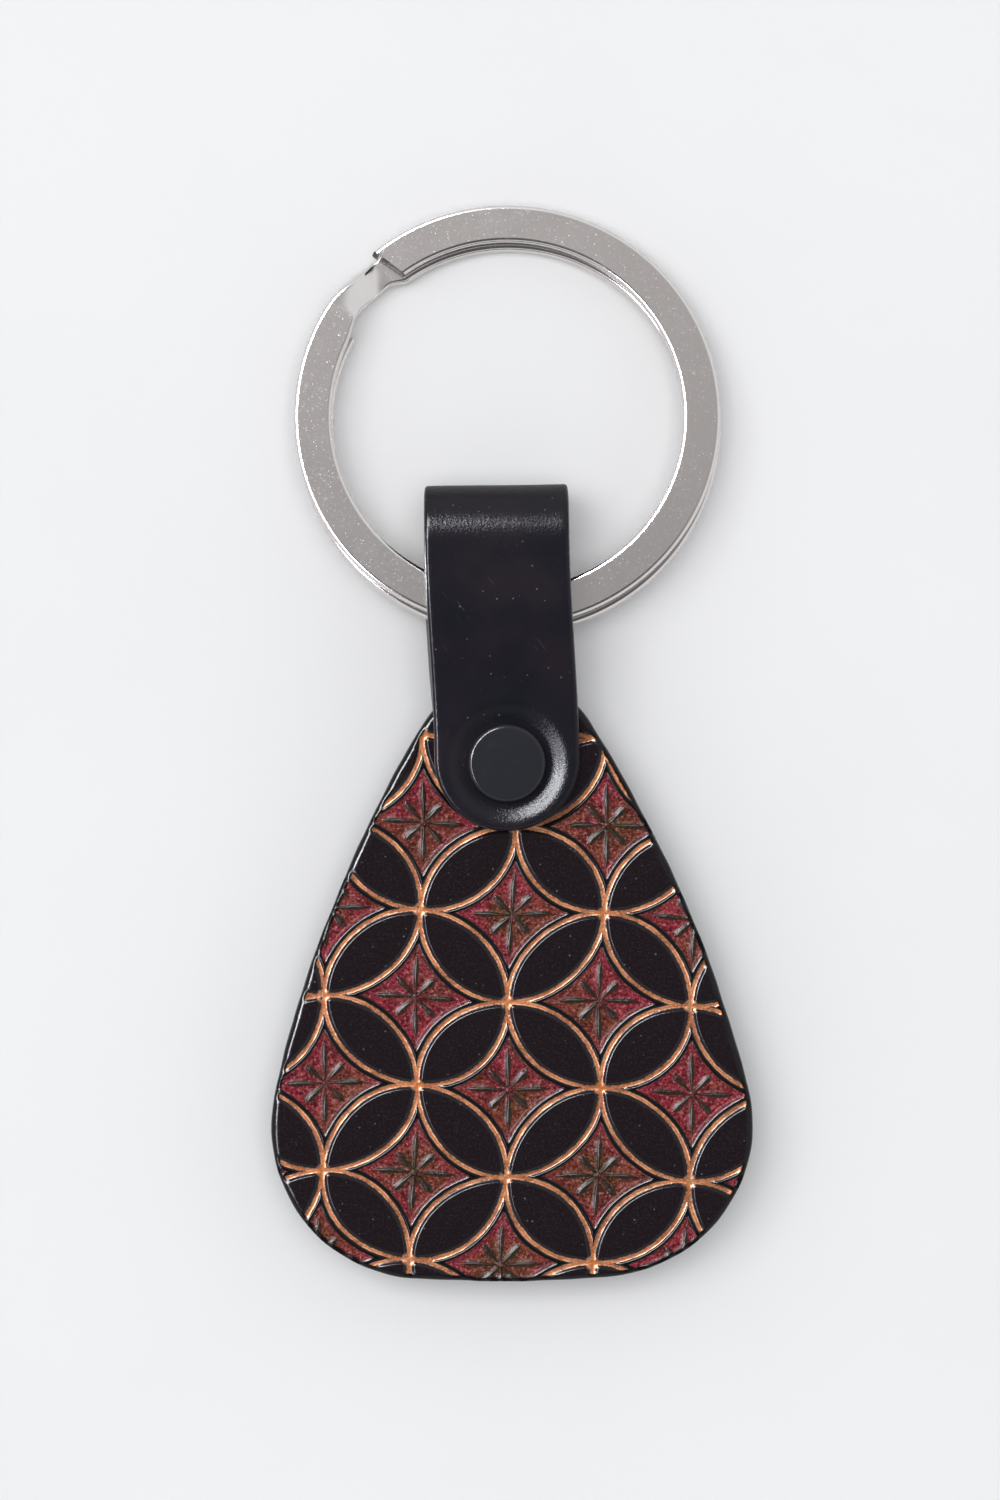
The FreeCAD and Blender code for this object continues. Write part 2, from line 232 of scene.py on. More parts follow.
def combine(tree: bpy.types.NodeTree, *parts: "Wire | float") -> Wire:
    """Joins three numbers into a vector.

    Args:
        tree: tree to add the node to.
        parts: X, Y and Z.

    Returns:
        The vector.
    """
    node = tree.nodes.new("ShaderNodeCombineXYZ")
    for socket, value in zip(node.inputs, parts):
        feed(socket, value)
    return Wire(tree, node.outputs[0])


def scaled(vector: Wire, factors: tuple[float, float, float]) -> Wire:
    """Multiplies a vector part by part.

    Args:
        vector: the vector.
        factors: one factor for each part.

    Returns:
        The product.
    """
    node = vector.tree.nodes.new("ShaderNodeVectorMath")
    node.operation = "MULTIPLY"
    feed(node.inputs[0], vector)
    feed(node.inputs[1], factors)
    return Wire(vector.tree, node.outputs[0])


def noise(vector: Wire, scale: float, detail: float = 2.0, roughness: float = 0.5) -> Wire:
    """Fractal noise from 0 to 1.

    Args:
        vector: where to read it, in millimetres.
        scale: features per millimetre.
        detail: number of finer layers.
        roughness: strength of the finer layers.

    Returns:
        The noise.
    """
    node = vector.tree.nodes.new("ShaderNodeTexNoise")
    feed(node.inputs["Vector"], vector)
    feed(node.inputs["Scale"], scale)
    feed(node.inputs["Detail"], detail)
    feed(node.inputs["Roughness"], roughness)
    return Wire(vector.tree, node.outputs[0])


def mixed(tree: bpy.types.NodeTree, share: "Wire | float", low: "Wire | Colour",
          high: "Wire | Colour") -> Wire:
    """Mixes two colours.

    Args:
        tree: tree to add the node to.
        share: 0 for low, 1 for high.
        low: first colour.
        high: second colour.

    Returns:
        The mixed colour.
    """
    node = tree.nodes.new("ShaderNodeMix")
    node.data_type = "RGBA"
    feed(node.inputs[0], share)
    for socket, value in ((node.inputs[6], low), (node.inputs[7], high)):
        feed(socket, value if isinstance(value, Wire) else (*value, 1.0))
    return Wire(tree, node.outputs[2])


def cells(vector: Wire, scale: float, randomness: float = 1.0) -> Wire:
    """Distance to the nearest cell centre of a Voronoi pattern.

    Args:
        vector: where to read it, in millimetres.
        scale: cells per millimetre.
        randomness: 0 for a lattice, 1 for scattered cells.

    Returns:
        The distance, in cell sizes.
    """
    node = vector.tree.nodes.new("ShaderNodeTexVoronoi")
    feed(node.inputs["Vector"], vector)
    feed(node.inputs["Scale"], scale)
    feed(node.inputs["Randomness"], randomness)
    return Wire(vector.tree, node.outputs["Distance"])


class GeometryTool:
    """A geometry node tree with named number inputs, applied to one mesh at a time."""

    def __init__(self, name: str, sizes: dict[str, float]) -> None:
        """Starts the tree.

        Args:
            name: name of the tree.
            sizes: the named inputs and their values.
        """
        self.tree = bpy.data.node_groups.new(name, "GeometryNodeTree")
        self.tree.interface.new_socket("Geometry", in_out="INPUT", socket_type="NodeSocketGeometry")
        self.sizes = sizes
        self.sockets = {
            label: self.tree.interface.new_socket(label, in_out="INPUT", socket_type="NodeSocketFloat")
            for label in sizes
        }
        self.tree.interface.new_socket("Geometry", in_out="OUTPUT", socket_type="NodeSocketGeometry")
        self.start = self.tree.nodes.new("NodeGroupInput")
        self.end = self.tree.nodes.new("NodeGroupOutput")
        self.geometry = self.start.outputs["Geometry"]

    def size(self, label: str) -> Wire:
        """A named input as a wire."""
        return Wire(self.tree, self.start.outputs[label])

    def node(self, kind: str, **settings: object) -> bpy.types.Node:
        """Adds a node.

        Args:
            kind: Blender's name of the node type.
            settings: attributes to set on it.

        Returns:
            The node.
        """
        node = self.tree.nodes.new(kind)
        for label, value in settings.items():
            setattr(node, label, value)
        return node

    def through(self, kind: str, inputs: dict[str, object], **settings: object) -> bpy.types.Node:
        """Passes the geometry so far through a node.

        Args:
            kind: Blender's name of the node type.
            inputs: values or wires for its named sockets.
            settings: attributes to set on it.

        Returns:
            The node.
        """
        node = self.node(kind, **settings)
        self.tree.links.new(self.geometry, node.inputs[0])
        for label, value in inputs.items():
            feed(node.inputs[label], value)
        self.geometry = node.outputs[0]
        return node

    def apply(self, source: bpy.types.Object, material: bpy.types.Material,
              selection: Wire | None = None) -> bpy.types.Object:
        """Ends the tree, runs it on an object and makes the result plain.

        Args:
            source: the object to run on; its mesh is exchanged for the result.
            material: the material that the made faces get.
            selection: the faces that get it, or all of them.

        Returns:
            The same object, with a plain mesh.
        """
        self.through("GeometryNodeRealizeInstances", {})
        dress = self.through("GeometryNodeSetMaterial", {"Material": material})
        if selection is not None:
            feed(dress.inputs["Selection"], selection)
        self.tree.links.new(self.geometry, self.end.inputs[0])
        modifier = source.modifiers.new(self.tree.name, "NODES")
        modifier.node_group = self.tree
        for label, value in self.sizes.items():
            modifier[self.sockets[label].identifier] = value
        graph = bpy.context.evaluated_depsgraph_get()
        graph.update()
        mesh = bpy.data.meshes.new_from_object(source.evaluated_get(graph))
        source.modifiers.remove(modifier)
        old, source.data = source.data, mesh
        name = old.name
        bpy.data.meshes.remove(old)
        mesh.name = name
        return source


# ------------------------------------------------------------------------------------ mesh helpers

class MeshDraft:
    """Collects vertices and faces in millimetres and turns them into one welded mesh."""

    def __init__(self) -> None:
        """Starts empty."""
        self.points: list[Array] = []
        self.values: list[Array] = []
        self.faces: list[tuple[Array, int]] = []
        self.count = 0

    def add(self, points: Array, faces: Array, slot: int = 0, values: Array | None = None) -> None:
        """Adds a patch.

        Args:
            points: (n, 3) places.
            faces: (m, 3) or (m, 4) corner numbers within the patch.
            slot: material slot of the faces.
            values: (n,) edge distances stored with the points.
        """
        self.points.append(points)
        self.values.append(np.zeros(len(points)) if values is None else values)
        self.faces.append((faces + self.count, slot))
        self.count += len(points)

    def grid(self, rows: Array, slot: int = 0) -> None:
        """Adds a quad sheet between successive closed rows of points.

        Args:
            rows: (rows, columns, 3) places; the last column joins the first.
            slot: material slot.
        """
        count, width = rows.shape[:2]
        row = np.arange(count - 1)[:, None]
        column = np.arange(width)[None, :]
        after = (column + 1) % width
        corners = (row * width + column, row * width + after,
                   (row + 1) * width + after, (row + 1) * width + column)
        faces = np.stack([np.broadcast_to(c, (row.size, column.size)).ravel() for c in corners], 1)
        self.add(rows.reshape(-1, 3), faces, slot)

    def build(self, name: str, materials: list[bpy.types.Material]) -> bpy.types.Object:
        """Makes the object.

        Args:
            name: name of the object.
            materials: one material for each slot.

        Returns:
            The object, linked to the scene, with smooth shading.
        """
        points = np.concatenate(self.points)
        values = np.concatenate(self.values)
        keys = np.round(points / WELD_DISTANCE).astype(np.int64)
        _, first, place = np.unique(keys, axis=0, return_index=True, return_inverse=True)
        place = place.reshape(-1)
        corners, slots = [], []
        for faces, slot in self.faces:
            for face in place[faces]:
                ring = [int(v) for i, v in enumerate(face) if v != face[i - 1]]
                if len(set(ring)) > 2:
                    corners.append(ring)
                    slots.append(slot)
        mesh = bpy.data.meshes.new(name)
        mesh.from_pydata((points[first] * MM).tolist(), [], corners)
        mesh.validate()
        stored = mesh.attributes.new("edge_distance", "FLOAT", "POINT")
        stored.data.foreach_set("value", values[first].astype(np.float32))
        if len(mesh.polygons) == len(slots):
            mesh.polygons.foreach_set("material_index", slots)
        for material in materials:
            mesh.materials.append(material)
        mesh.polygons.foreach_set("use_smooth", [True] * len(mesh.polygons))
        piece = bpy.data.objects.new(name, mesh)
        bpy.context.scene.collection.objects.link(piece)
        return piece


def lathe(profile: Array, steps: int = 96) -> Array:
    """Rows of points of a surface of revolution about the rivet's axis.

    Args:
        profile: (n, 2) radii and heights.
        steps: divisions of the turn.

    Returns:
        (n, steps, 3) places.
    """
    turn = np.linspace(0, 2 * math.pi, steps, endpoint=False)
    radius, height = profile[:, :1], profile[:, 1:]
    return np.stack([RIVET_X + radius * np.cos(turn), RIVET_Y + radius * np.sin(turn),
                     np.broadcast_to(height, (len(profile), steps))], 2)


def arc(centre: Array | tuple[float, float], radius: float, turn: Array) -> Array:
    """Points of an arc.

    Args:
        centre: its middle.
        radius: its radius.
        turn: (n,) angles of the points, in radians.

    Returns:
        (n, 2) points.
    """
    return np.stack([centre[0] + radius * np.cos(turn), centre[1] + radius * np.sin(turn)], 1)


def circle(centre: tuple[float, float], radius: float, count: int) -> Array:
    """Points round a circle, counter-clockwise.

    Args:
        centre: its middle.
        radius: its radius.
        count: number of points.

    Returns:
        (count, 2) points.
    """
    return arc(centre, radius, np.linspace(0, 2 * math.pi, count, endpoint=False))


def direction(vector: Array) -> float:
    """Angle of a plan vector, in radians."""
    return math.atan2(vector[1], vector[0])


def eased(share: Array) -> Array:
    """A share kept from 0 to 1 that starts and ends gently."""
    share = np.clip(share, 0, 1)
    return share * share * (3 - 2 * share)


def rounding(distance: Array, radius: float) -> Array:
    """How far a rounded edge lies below its face.

    Args:
        distance: distances from the edge.
        radius: radius of the rounding.

    Returns:
        The drop, from radius at the edge to 0.
    """
    inner = np.clip(1 - distance / radius, 0, 1)
    return radius * (1 - np.sqrt(1 - inner ** 2))


def even_loop(loop: Array, spacing: float = OUTLINE_SPACING) -> Array:
    """Closed outline resampled at even distances.

    Args:
        loop: (n, 2) points of the outline.
        spacing: wanted distance between points.

    Returns:
        The resampled outline.
    """
    closed = np.vstack([loop, loop[:1]])
    along = np.concatenate([[0], np.cumsum(np.linalg.norm(np.diff(closed, axis=0), axis=1))])
    stops = np.linspace(0, along[-1], max(int(along[-1] / spacing), 8), endpoint=False)
    return np.stack([np.interp(stops, along, closed[:, k]) for k in (0, 1)], 1)


def softened(loop: Array, width: float) -> Array:
    """Closed, evenly spaced outline with its corners rounded by a running average.

    Args:
        loop: (n, 2) points.
        width: length of the average.

    Returns:
        The softened outline.
    """
    spacing = np.linalg.norm(loop[1] - loop[0])
    half = max(int(width / spacing / 2), 1)
    kernel = np.hanning(2 * half + 3)[1:-1]
    kernel /= kernel.sum()
    result = np.zeros_like(loop)
    for shift, weight in zip(range(-half, half + 1), kernel):
        result += weight * np.roll(loop, shift, axis=0)
    return result


# ------------------------------------------------------------------------------------ leather sheets

@dataclass
class Sheet:
    """A flat piece of leather: two faces over one plan outline, and the cut wall between them.

    The high face is slot 0, the low face slot 1 and the wall slot 2.
    """

    name: str
    loop: Array
    low: float
    high: float
    low_round: float = 0.15
    high_round: float = 0.15
    spacing: float = 0.45
    holes: list[tuple[tuple[float, float], float]] = field(default_factory=list)
    guides: Array | None = None
    bands: tuple[float, ...] = ()
    low_relief: Relief | None = None
    bend: Bend | None = None
    wall_rows: int = 7
    wall_belly: float = 0.05
    guide_gap: float = 0.06
    guide_cell: float = 0.7
    hole_gap: float = 0.12
    least_gap: float = 0.03

    def __post_init__(self) -> None:
        """Works out the outline's inward normals."""
        ahead = np.roll(self.loop, -1, axis=0) - np.roll(self.loop, 1, axis=0)
        ahead /= np.linalg.norm(ahead, axis=1)[:, None]
        self.inward = np.stack([-ahead[:, 1], ahead[:, 0]], 1)

    def distance(self, points: Array) -> Array:
        """Distances from the outline, positive inside.

        Args:
            points: (n, 2) points.

        Returns:
            (n,) distances.
        """
        result = np.empty(len(points))
        for start in range(0, len(points), 4000):
            part = points[start:start + 4000]
            gap = ((part[:, None, :] - self.loop[None]) ** 2).sum(2)
            near = gap.argmin(1)
            plane = ((part - self.loop[near]) * self.inward[near]).sum(1)
            result[start:start + 4000] = np.where(gap[np.arange(len(part)), near] > 1.0,
                                                  np.sign(plane) * np.sqrt(gap.min(1)), plane)
        return result

    def _inner_points(self, round_off: float, guides: Array | None, spacing: float) -> Array:
        """Points inside the outline: rows beside the edge, guide points and an even fill.

        Args:
            round_off: radius of the rounded edge.
            guides: points that the face must have.
            spacing: distance between the points of the fill.

        Returns:
            (n, 2) points.
        """
        steps = [round_off * (1 - math.cos(a)) for a in np.radians(EDGE_ANGLES)]
        rows = []
        for inset in (*steps, *self.bands):
            ring = self.loop + self.inward * inset
            rows.append(ring[self.distance(ring) > inset - 0.02])
        deepest = max((round_off, *self.bands))
        low, high = self.loop.min(0), self.loop.max(0)
        columns = np.arange(low[0], high[0], spacing)
        lines = np.arange(low[1], high[1], spacing * TRIANGLE_ROW)
        x, y = np.meshgrid(columns, lines)
        x = x + 0.5 * spacing * (np.arange(len(lines)) % 2)[:, None]
        fill = np.stack([x.ravel(), y.ravel()], 1)
        fill = fill[self.distance(fill) > deepest + 0.5 * spacing]
        if guides is not None:
            guides = guides[self.distance(guides) > deepest + self.guide_gap]
            cell = self.guide_cell * spacing
            marks = {tuple(p) for p in np.floor(guides / cell).astype(int).tolist()}
            places = np.floor(fill / cell).astype(int).tolist()
            fill = np.array([p for p, c in zip(fill, places) if tuple(c) not in marks])
            rows.append(guides)
        rows.append(fill)
        points = np.concatenate(rows)
        for centre, radius in self.holes:
            points = points[np.hypot(*(points - centre).T) > radius + self.hole_gap]
        _, first = np.unique(np.round(points / self.least_gap), axis=0, return_index=True)
        return points[np.sort(first)]

    def _loops(self) -> list[Array]:
        """The outline and the circles of the holes."""
        return [self.loop] + [circle(centre, radius, HOLE_POINTS) for centre, radius in self.holes]

    def _face(self, round_off: float, guides: Array | None, spacing: float) -> tuple[Array, Array]:
        """Triangles over the outline.

        Args:
            round_off: radius of the rounded edge.
            guides: points that the face must have.
            spacing: distance between the points of the fill.

        Returns:
            (n, 2) points and (m, 3) corners, counter-clockwise.
        """
        loops = self._loops()
        edges, start = [], 0
        for loop in loops:
            count = len(loop)
            edges += [(start + k, start + (k + 1) % count) for k in range(count)]
            start += count
        points = np.concatenate([*loops, self._inner_points(round_off, guides, spacing)])
        result = delaunay_2d_cdt([Vector(p) for p in points.tolist()], edges, [], 0, 1e-7, False)
        flat = np.array([tuple(p) for p in result[0]])
        corners = np.array([f for f in result[2] if len(f) == 3])
        middle = flat[corners].mean(1)
        keep = self.distance(middle) > 0
        for centre, radius in self.holes:
            keep &= np.hypot(*(middle - centre).T) > radius
        return flat, corners[keep]

    def _place(self, flat: Array, height: Array) -> Array:
        """Puts plan points at heights, through the bend if there is one.

        Args:
            flat: (n, 2) plan points.
            height: (n,) heights.

        Returns:
            (n, 3) places in the frame.
        """
        solid = np.column_stack([flat, height])
        if self.bend is not None:
            return self.bend(solid)
        return solid + (RIVET_X, RIVET_Y, 0)

    def _high_at(self, _points: Array, edge: Array) -> Array:
        """Heights of the high face at distances from the edge."""
        return self.high - rounding(edge, self.high_round)

    def _low_at(self, points: Array, edge: Array) -> Array:
        """Heights of the low face, with its relief.

        Args:
            points: (n, 2) plan points.
            edge: their distances from the edge.

        Returns:
            (n,) heights.
        """
        height = self.low + rounding(edge, self.low_round)
        return height + self.low_relief(points, edge) if self.low_relief else height

    def build(self, materials: list[bpy.types.Material]) -> bpy.types.Object:
        """Makes the piece.

        Args:
            materials: finishes of the high face, the low face and the wall.

        Returns:
            The object.
        """
        draft = MeshDraft()
        low_spacing = self.spacing * (3 if self.guides is not None else 1)
        faces = ((self._high_at, self.high_round, self.guides, self.spacing),
                 (self._low_at, self.low_round, None, low_spacing))
        for slot, (at, round_off, guides, spacing) in enumerate(faces):
            flat, corners = self._face(round_off, guides, spacing)
            edge = np.maximum(self.distance(flat), 0)
            draft.add(self._place(flat, at(flat, edge)), corners if slot == 0 else corners[:, ::-1],
                      slot, edge)
        for index, loop in enumerate(self._loops()):
            edge = np.zeros(len(loop)) if index == 0 else np.maximum(self.distance(loop), 0)
            low, high = self._low_at(loop, edge), self._high_at(loop, edge)
            rows = []
            for share in np.linspace(0, 1, self.wall_rows):
                belly = self.wall_belly * math.sin(math.pi * share) if index == 0 else 0.0
                flat = loop - (self.inward * belly if index == 0 else 0)
                rows.append(self._place(flat, low + (high - low) * share))
            sheet = np.stack(rows)
            draft.grid(sheet if index == 0 else sheet[:, ::-1], 2)
        return draft.build(self.name, materials)


@dataclass(frozen=True)
class Outline:
    """The body's plectrum-like outline: six tangent arcs, mirrored about the middle line."""

    top_radius: float = 7.35
    top_y: float = -0.9
    corner_radius: float = 11.45
    corner_x: float = 6.55
    corner_y: float = -27.05
    side_radius: float = 94.0
    bottom_radius: float = 100.0
    wander: float = 0.05
    waves: tuple[tuple[float, float, float], ...] = ((7, 1.0, 0.6), (17, 0.7, 2.0), (41, 0.5, 0.0))
    arc_points: int = 400

    def loop(self) -> Array:
        """The outline as an even closed loop, counter-clockwise, cut a little unevenly by hand.

        Returns:
            (n, 2) points.
        """
        top = np.array([0, self.top_y])
        corner = np.array([self.corner_x, self.corner_y])
        apart = corner - top
        span = float(np.hypot(*apart))
        to_top, to_corner = self.side_radius - self.top_radius, self.side_radius - self.corner_radius
        along = (to_top ** 2 - to_corner ** 2 + span ** 2) / (2 * span)
        unit = apart / span
        side = top + unit * along + np.array([unit[1], -unit[0]]) * math.sqrt(to_top ** 2 - along ** 2)
        reach = self.bottom_radius - self.corner_radius
        bottom = np.array([0, self.corner_y + math.sqrt(reach ** 2 - self.corner_x ** 2)])
        low, high = direction(corner - side), direction(top - side)
        floor = direction(corner - bottom)
        stretches = ((bottom, self.bottom_radius, -math.pi / 2, floor),
                     (corner, self.corner_radius, floor, low),
                     (side, self.side_radius, low, high),
                     (top, self.top_radius, high, math.pi / 2))
        half = np.concatenate([
            arc(centre, radius, np.linspace(start, end, self.arc_points, endpoint=False))
            for centre, radius, start, end in stretches])
        loop = even_loop(np.concatenate([half, half[::-1] * (-1, 1)]))
        phase = np.linspace(0, 2 * math.pi, len(loop), endpoint=False)
        waves = sum(share * np.sin(count * phase + start) for count, share, start in self.waves)
        outward = loop - loop.mean(0)
        outward /= np.linalg.norm(outward, axis=1)[:, None]
        return loop + outward * (0.5 * self.wander * waves)[:, None]


# ------------------------------------------------------------------------------------ tooling

class ToolingField(NamedTuple):
    """Values of the tooling at a point, as wires of a node tree."""

    edge: Wire
    ray: Wire
    centre: Wire
    crossing: Wire


@dataclass(frozen=True)
class Tooling:
    """Hand-set stamping: petals between the crossings of overlapping circles, stars between them."""

    step_x: float = 6.86
    step_y: float = 6.54
    start_x: float = -0.06
    start_y: float = -17.73
    turn: float = -2.2
    wander_x: tuple[float, ...] = (0.16, 0.31, 1.3)
    wander_y: tuple[float, ...] = (0.16, 0.37, 2.1)
    petal_shoulder: tuple[float, float] = (-0.37, -0.15)
    ridge_inner: tuple[float, float] = (0.13, 0.30)
    ridge_outer: tuple[float, float] = (0.42, 0.72)
    groove_depth: float = 0.17
    ridge_rise: float = 0.13
    ground_drop: float = 0.24
    petal_crown: float = 0.05
    ray_rise: float = 0.18
    long_ray: tuple[float, float, float] = (0.2, 2.1, 3.3)
    long_ray_width: float = 0.27
    short_ray: tuple[float, float, float] = (0.2, 1.6, 2.1)
    short_ray_width: float = 0.32
    ray_root: float = 0.25
    guide_points: int = 250
    guide_error: float = 0.004

    @property
    def radius(self) -> float:
        """Mean radius of the overlapping circles."""
        return (self.step_x + self.step_y) / 2

    def from_pattern(self, points: Array) -> Array:
        """Plan points of places given in the pattern's own axes.

        Args:
            points: (n, 2) points measured from a crossing.

        Returns:
            (n, 2) points measured from the rivet.
        """
        u, v = points.T
        u = u - self.wander_x[0] * np.sin(self.wander_x[1] * v + self.wander_x[2])
        v = v - self.wander_y[0] * np.sin(self.wander_y[1] * u + self.wander_y[2])
        angle = math.radians(self.turn)
        return np.stack([u * math.cos(angle) - v * math.sin(angle) + self.start_x,
                         u * math.sin(angle) + v * math.cos(angle) + self.start_y], 1)

    def edge(self, points: Array) -> Array:
        """Signed distance from the circles, negative inside the petals.

        Args:
            points: (n, 2) points in the pattern's own axes.

        Returns:
            (n,) distances.
        """
        u = np.abs((points[:, 0] / self.step_x + 1) % 2 - 1)
        v = np.abs((points[:, 1] / self.step_y + 1) % 2 - 1)
        return (np.maximum(np.hypot(1 - u, v), np.hypot(u, 1 - v)) - 1) * self.radius

    def guides(self, reach: int = 4) -> Array:
        """Points that the mesh of the tooled face needs, along grooves, ridges and rays.

        Args:
            reach: how many steps the pattern goes out from its start.

        Returns:
            (n, 2) points measured from the rivet.
        """
        slopes = (self.petal_shoulder, self.ridge_inner, self.ridge_outer)
        offsets = [start + step * (end - start) for start, end in slopes
                   for step in (-0.12, 0.12, 0.5, 0.88, 1.12)]
        offsets += [self.petal_shoulder[0] - 0.12, self.petal_shoulder[0] - 0.24, 0.0,
                    self.ridge_outer[1] + 0.13]
        made = []
        for column in range(-reach, reach + 1):
            for row in range(-reach, reach + 1):
                if (column + row) % 2 == 0:
                    continue
                centre = np.array([column * self.step_x, row * self.step_y])
                for offset in offsets:
                    ring = circle((0, 0), 1 + offset / self.radius, self.guide_points)
                    ring = ring * (self.step_x, self.step_y) + centre
                    made.append(ring[np.abs(self.edge(ring) - offset) < self.guide_error])
                made.append(self._star() + centre)
        return self.from_pattern(np.concatenate(made))

    def _star(self) -> Array:
        """Points along the rays of one star, about its middle."""
        points = []
        for index in range(8):
            start, wide, end = self.long_ray if index % 2 == 0 else self.short_ray
            width = self.long_ray_width if index % 2 == 0 else self.short_ray_width
            angle = index * math.pi / 4
            for along in np.arange(start, end + 0.1, 0.15):
                rise = np.clip((along - start) / (wide - start), 0, 1)
                fall = 1 - np.clip((along - wide) / (end - wide), 0, 1)
                half = width * (self.ray_root + (1 - self.ray_root) * rise) * fall
                for across in (-half, -0.5 * half, 0, 0.5 * half, half):
                    points.append((along * math.cos(angle) - across * math.sin(angle),
                                   along * math.sin(angle) + across * math.cos(angle)))
        return np.array(points)

    def field(self, position: Wire) -> ToolingField:
        """The tooling as nodes.

        Args:
            position: place in the frame, in millimetres.

        Returns:
            The distance from the circles, the ray's height share, the nearness of a star's middle and
            the distance from the nearest crossing.
        """
        tree = position.tree
        px, py, _ = split(position)
        x, y = px - (RIVET_X + self.start_x), py - (RIVET_Y + self.start_y)
        cosine, sine = math.cos(math.radians(-self.turn)), math.sin(math.radians(-self.turn))
        u, v = x * cosine - y * sine, x * sine + y * cosine
        shift_u = (v * self.wander_x[1] + self.wander_x[2]).math("SINE") * self.wander_x[0]
        shift_v = (u * self.wander_y[1] + self.wander_y[2]).math("SINE") * self.wander_y[0]
        u, v = u + shift_u, v + shift_v
        a = u.math("PINGPONG", self.step_x) / self.step_x
        b = v.math("PINGPONG", self.step_y) / self.step_y
        to_right = ((1.0 - a) * (1.0 - a) + b * b).math("SQRT")
        to_top = (a * a + (1.0 - b) * (1.0 - b)).math("SQRT")
        edge = (to_right.math("MAXIMUM", to_top) - 1.0) * self.radius
        nearer = to_right.math("LESS_THAN", to_top)
        along = nearer.between(a, 1.0 - a) * self.step_x
        across = nearer.between(1.0 - b, b) * self.step_y
        diagonal = (along + across) * math.sqrt(0.5)
        aside = (along - across).math("ABSOLUTE") * math.sqrt(0.5)
        long_ray = self._ray(along.math("MAXIMUM", across), along.math("MINIMUM", across),
                             self.long_ray, self.long_ray_width)
        short_ray = self._ray(diagonal, aside, self.short_ray, self.short_ray_width)
        centre = 1.0 - (along * along + across * across).math("SQRT").step(0.4, 3.0)
        far = (1.0 - a) * (1.0 - a) + (1.0 - b) * (1.0 - b)
        crossing = (a * a + b * b).math("MINIMUM", far).math("SQRT") * self.radius
        return ToolingField(edge, long_ray.math("MAXIMUM", short_ray), centre, crossing)

    @staticmethod
    def _ray(along: Wire, across: Wire, stops: tuple[float, float, float], width: float) -> Wire:
        """Height share of one ray of a star.

        Args:
            along: distance along the ray from the star's middle.
            across: distance from its middle line.
            stops: where it starts, is widest and ends.
            width: its half width where it is widest.

        Returns:
            1 on the ray's ridge, falling to 0 at its sides.
        """
        start, wide, end = stops
        rise = along.step(start, wide) * 0.75 + 0.25
        fall = 1.0 - along.step(wide, end)
        half = rise * fall * along.step(0.05, start + 0.1) * width + 0.001
        share = (1.0 - across / half).math("MAXIMUM", 0.0)
        return share * (1.6 - share * 0.6)


# ------------------------------------------------------------------------------------ finishes

class Surface:
    """A material in the making: its tree, its shader and the place on the piece in millimetres."""

    def __init__(self, name: str, **sockets: object) -> None:
        """Starts the material.

        Args:
            name: name of the material.
            sockets: plain values for the shader, with underscores for spaces.
        """
        self.material = bpy.data.materials.new(name)
        self.material.use_nodes = True
        self.tree = self.material.node_tree
        self.shader = self.tree.nodes["Principled BSDF"]
        for label, value in sockets.items():
            self.shader.inputs[label.replace("_", " ")].default_value = value
        place = self.tree.nodes.new("ShaderNodeTexCoord")
        self.place = scaled(Wire(self.tree, place.outputs["Object"]), (1 / MM, 1 / MM, 1 / MM))

    def attribute(self, name: str) -> Wire:
        """A number stored on the mesh."""
        node = self.tree.nodes.new("ShaderNodeAttribute")
        node.attribute_name = name
        return Wire(self.tree, node.outputs["Fac"])

    def mix(self, share: "Wire | float", low: "Wire | Colour", high: "Wire | Colour") -> Wire:
        """Mixes two colours in the material's tree, as mixed does."""
        return mixed(self.tree, share, low, high)

    def set(self, label: str, value: Wire) -> None:
        """Links a wire to one of the shader's inputs."""
        feed(self.shader.inputs[label], value)

    def bump(self, height: Wire, depth: float, strength: float = 1.0, coat: bool = False) -> None:
        """Bends the normal by a height.

        Args:
            height: height share.
            depth: height at share 1, in millimetres.
            strength: share of the effect.
            coat: whether the lacquer follows the relief as well.
        """
        node = self.tree.nodes.new("ShaderNodeBump")
        feed(node.inputs["Height"], height)
        feed(node.inputs["Distance"], depth * MM)
        feed(node.inputs["Strength"], strength)
        self.set("Normal", Wire(self.tree, node.outputs[0]))
        if coat:
            self.set("Coat Normal", Wire(self.tree, node.outputs[0]))


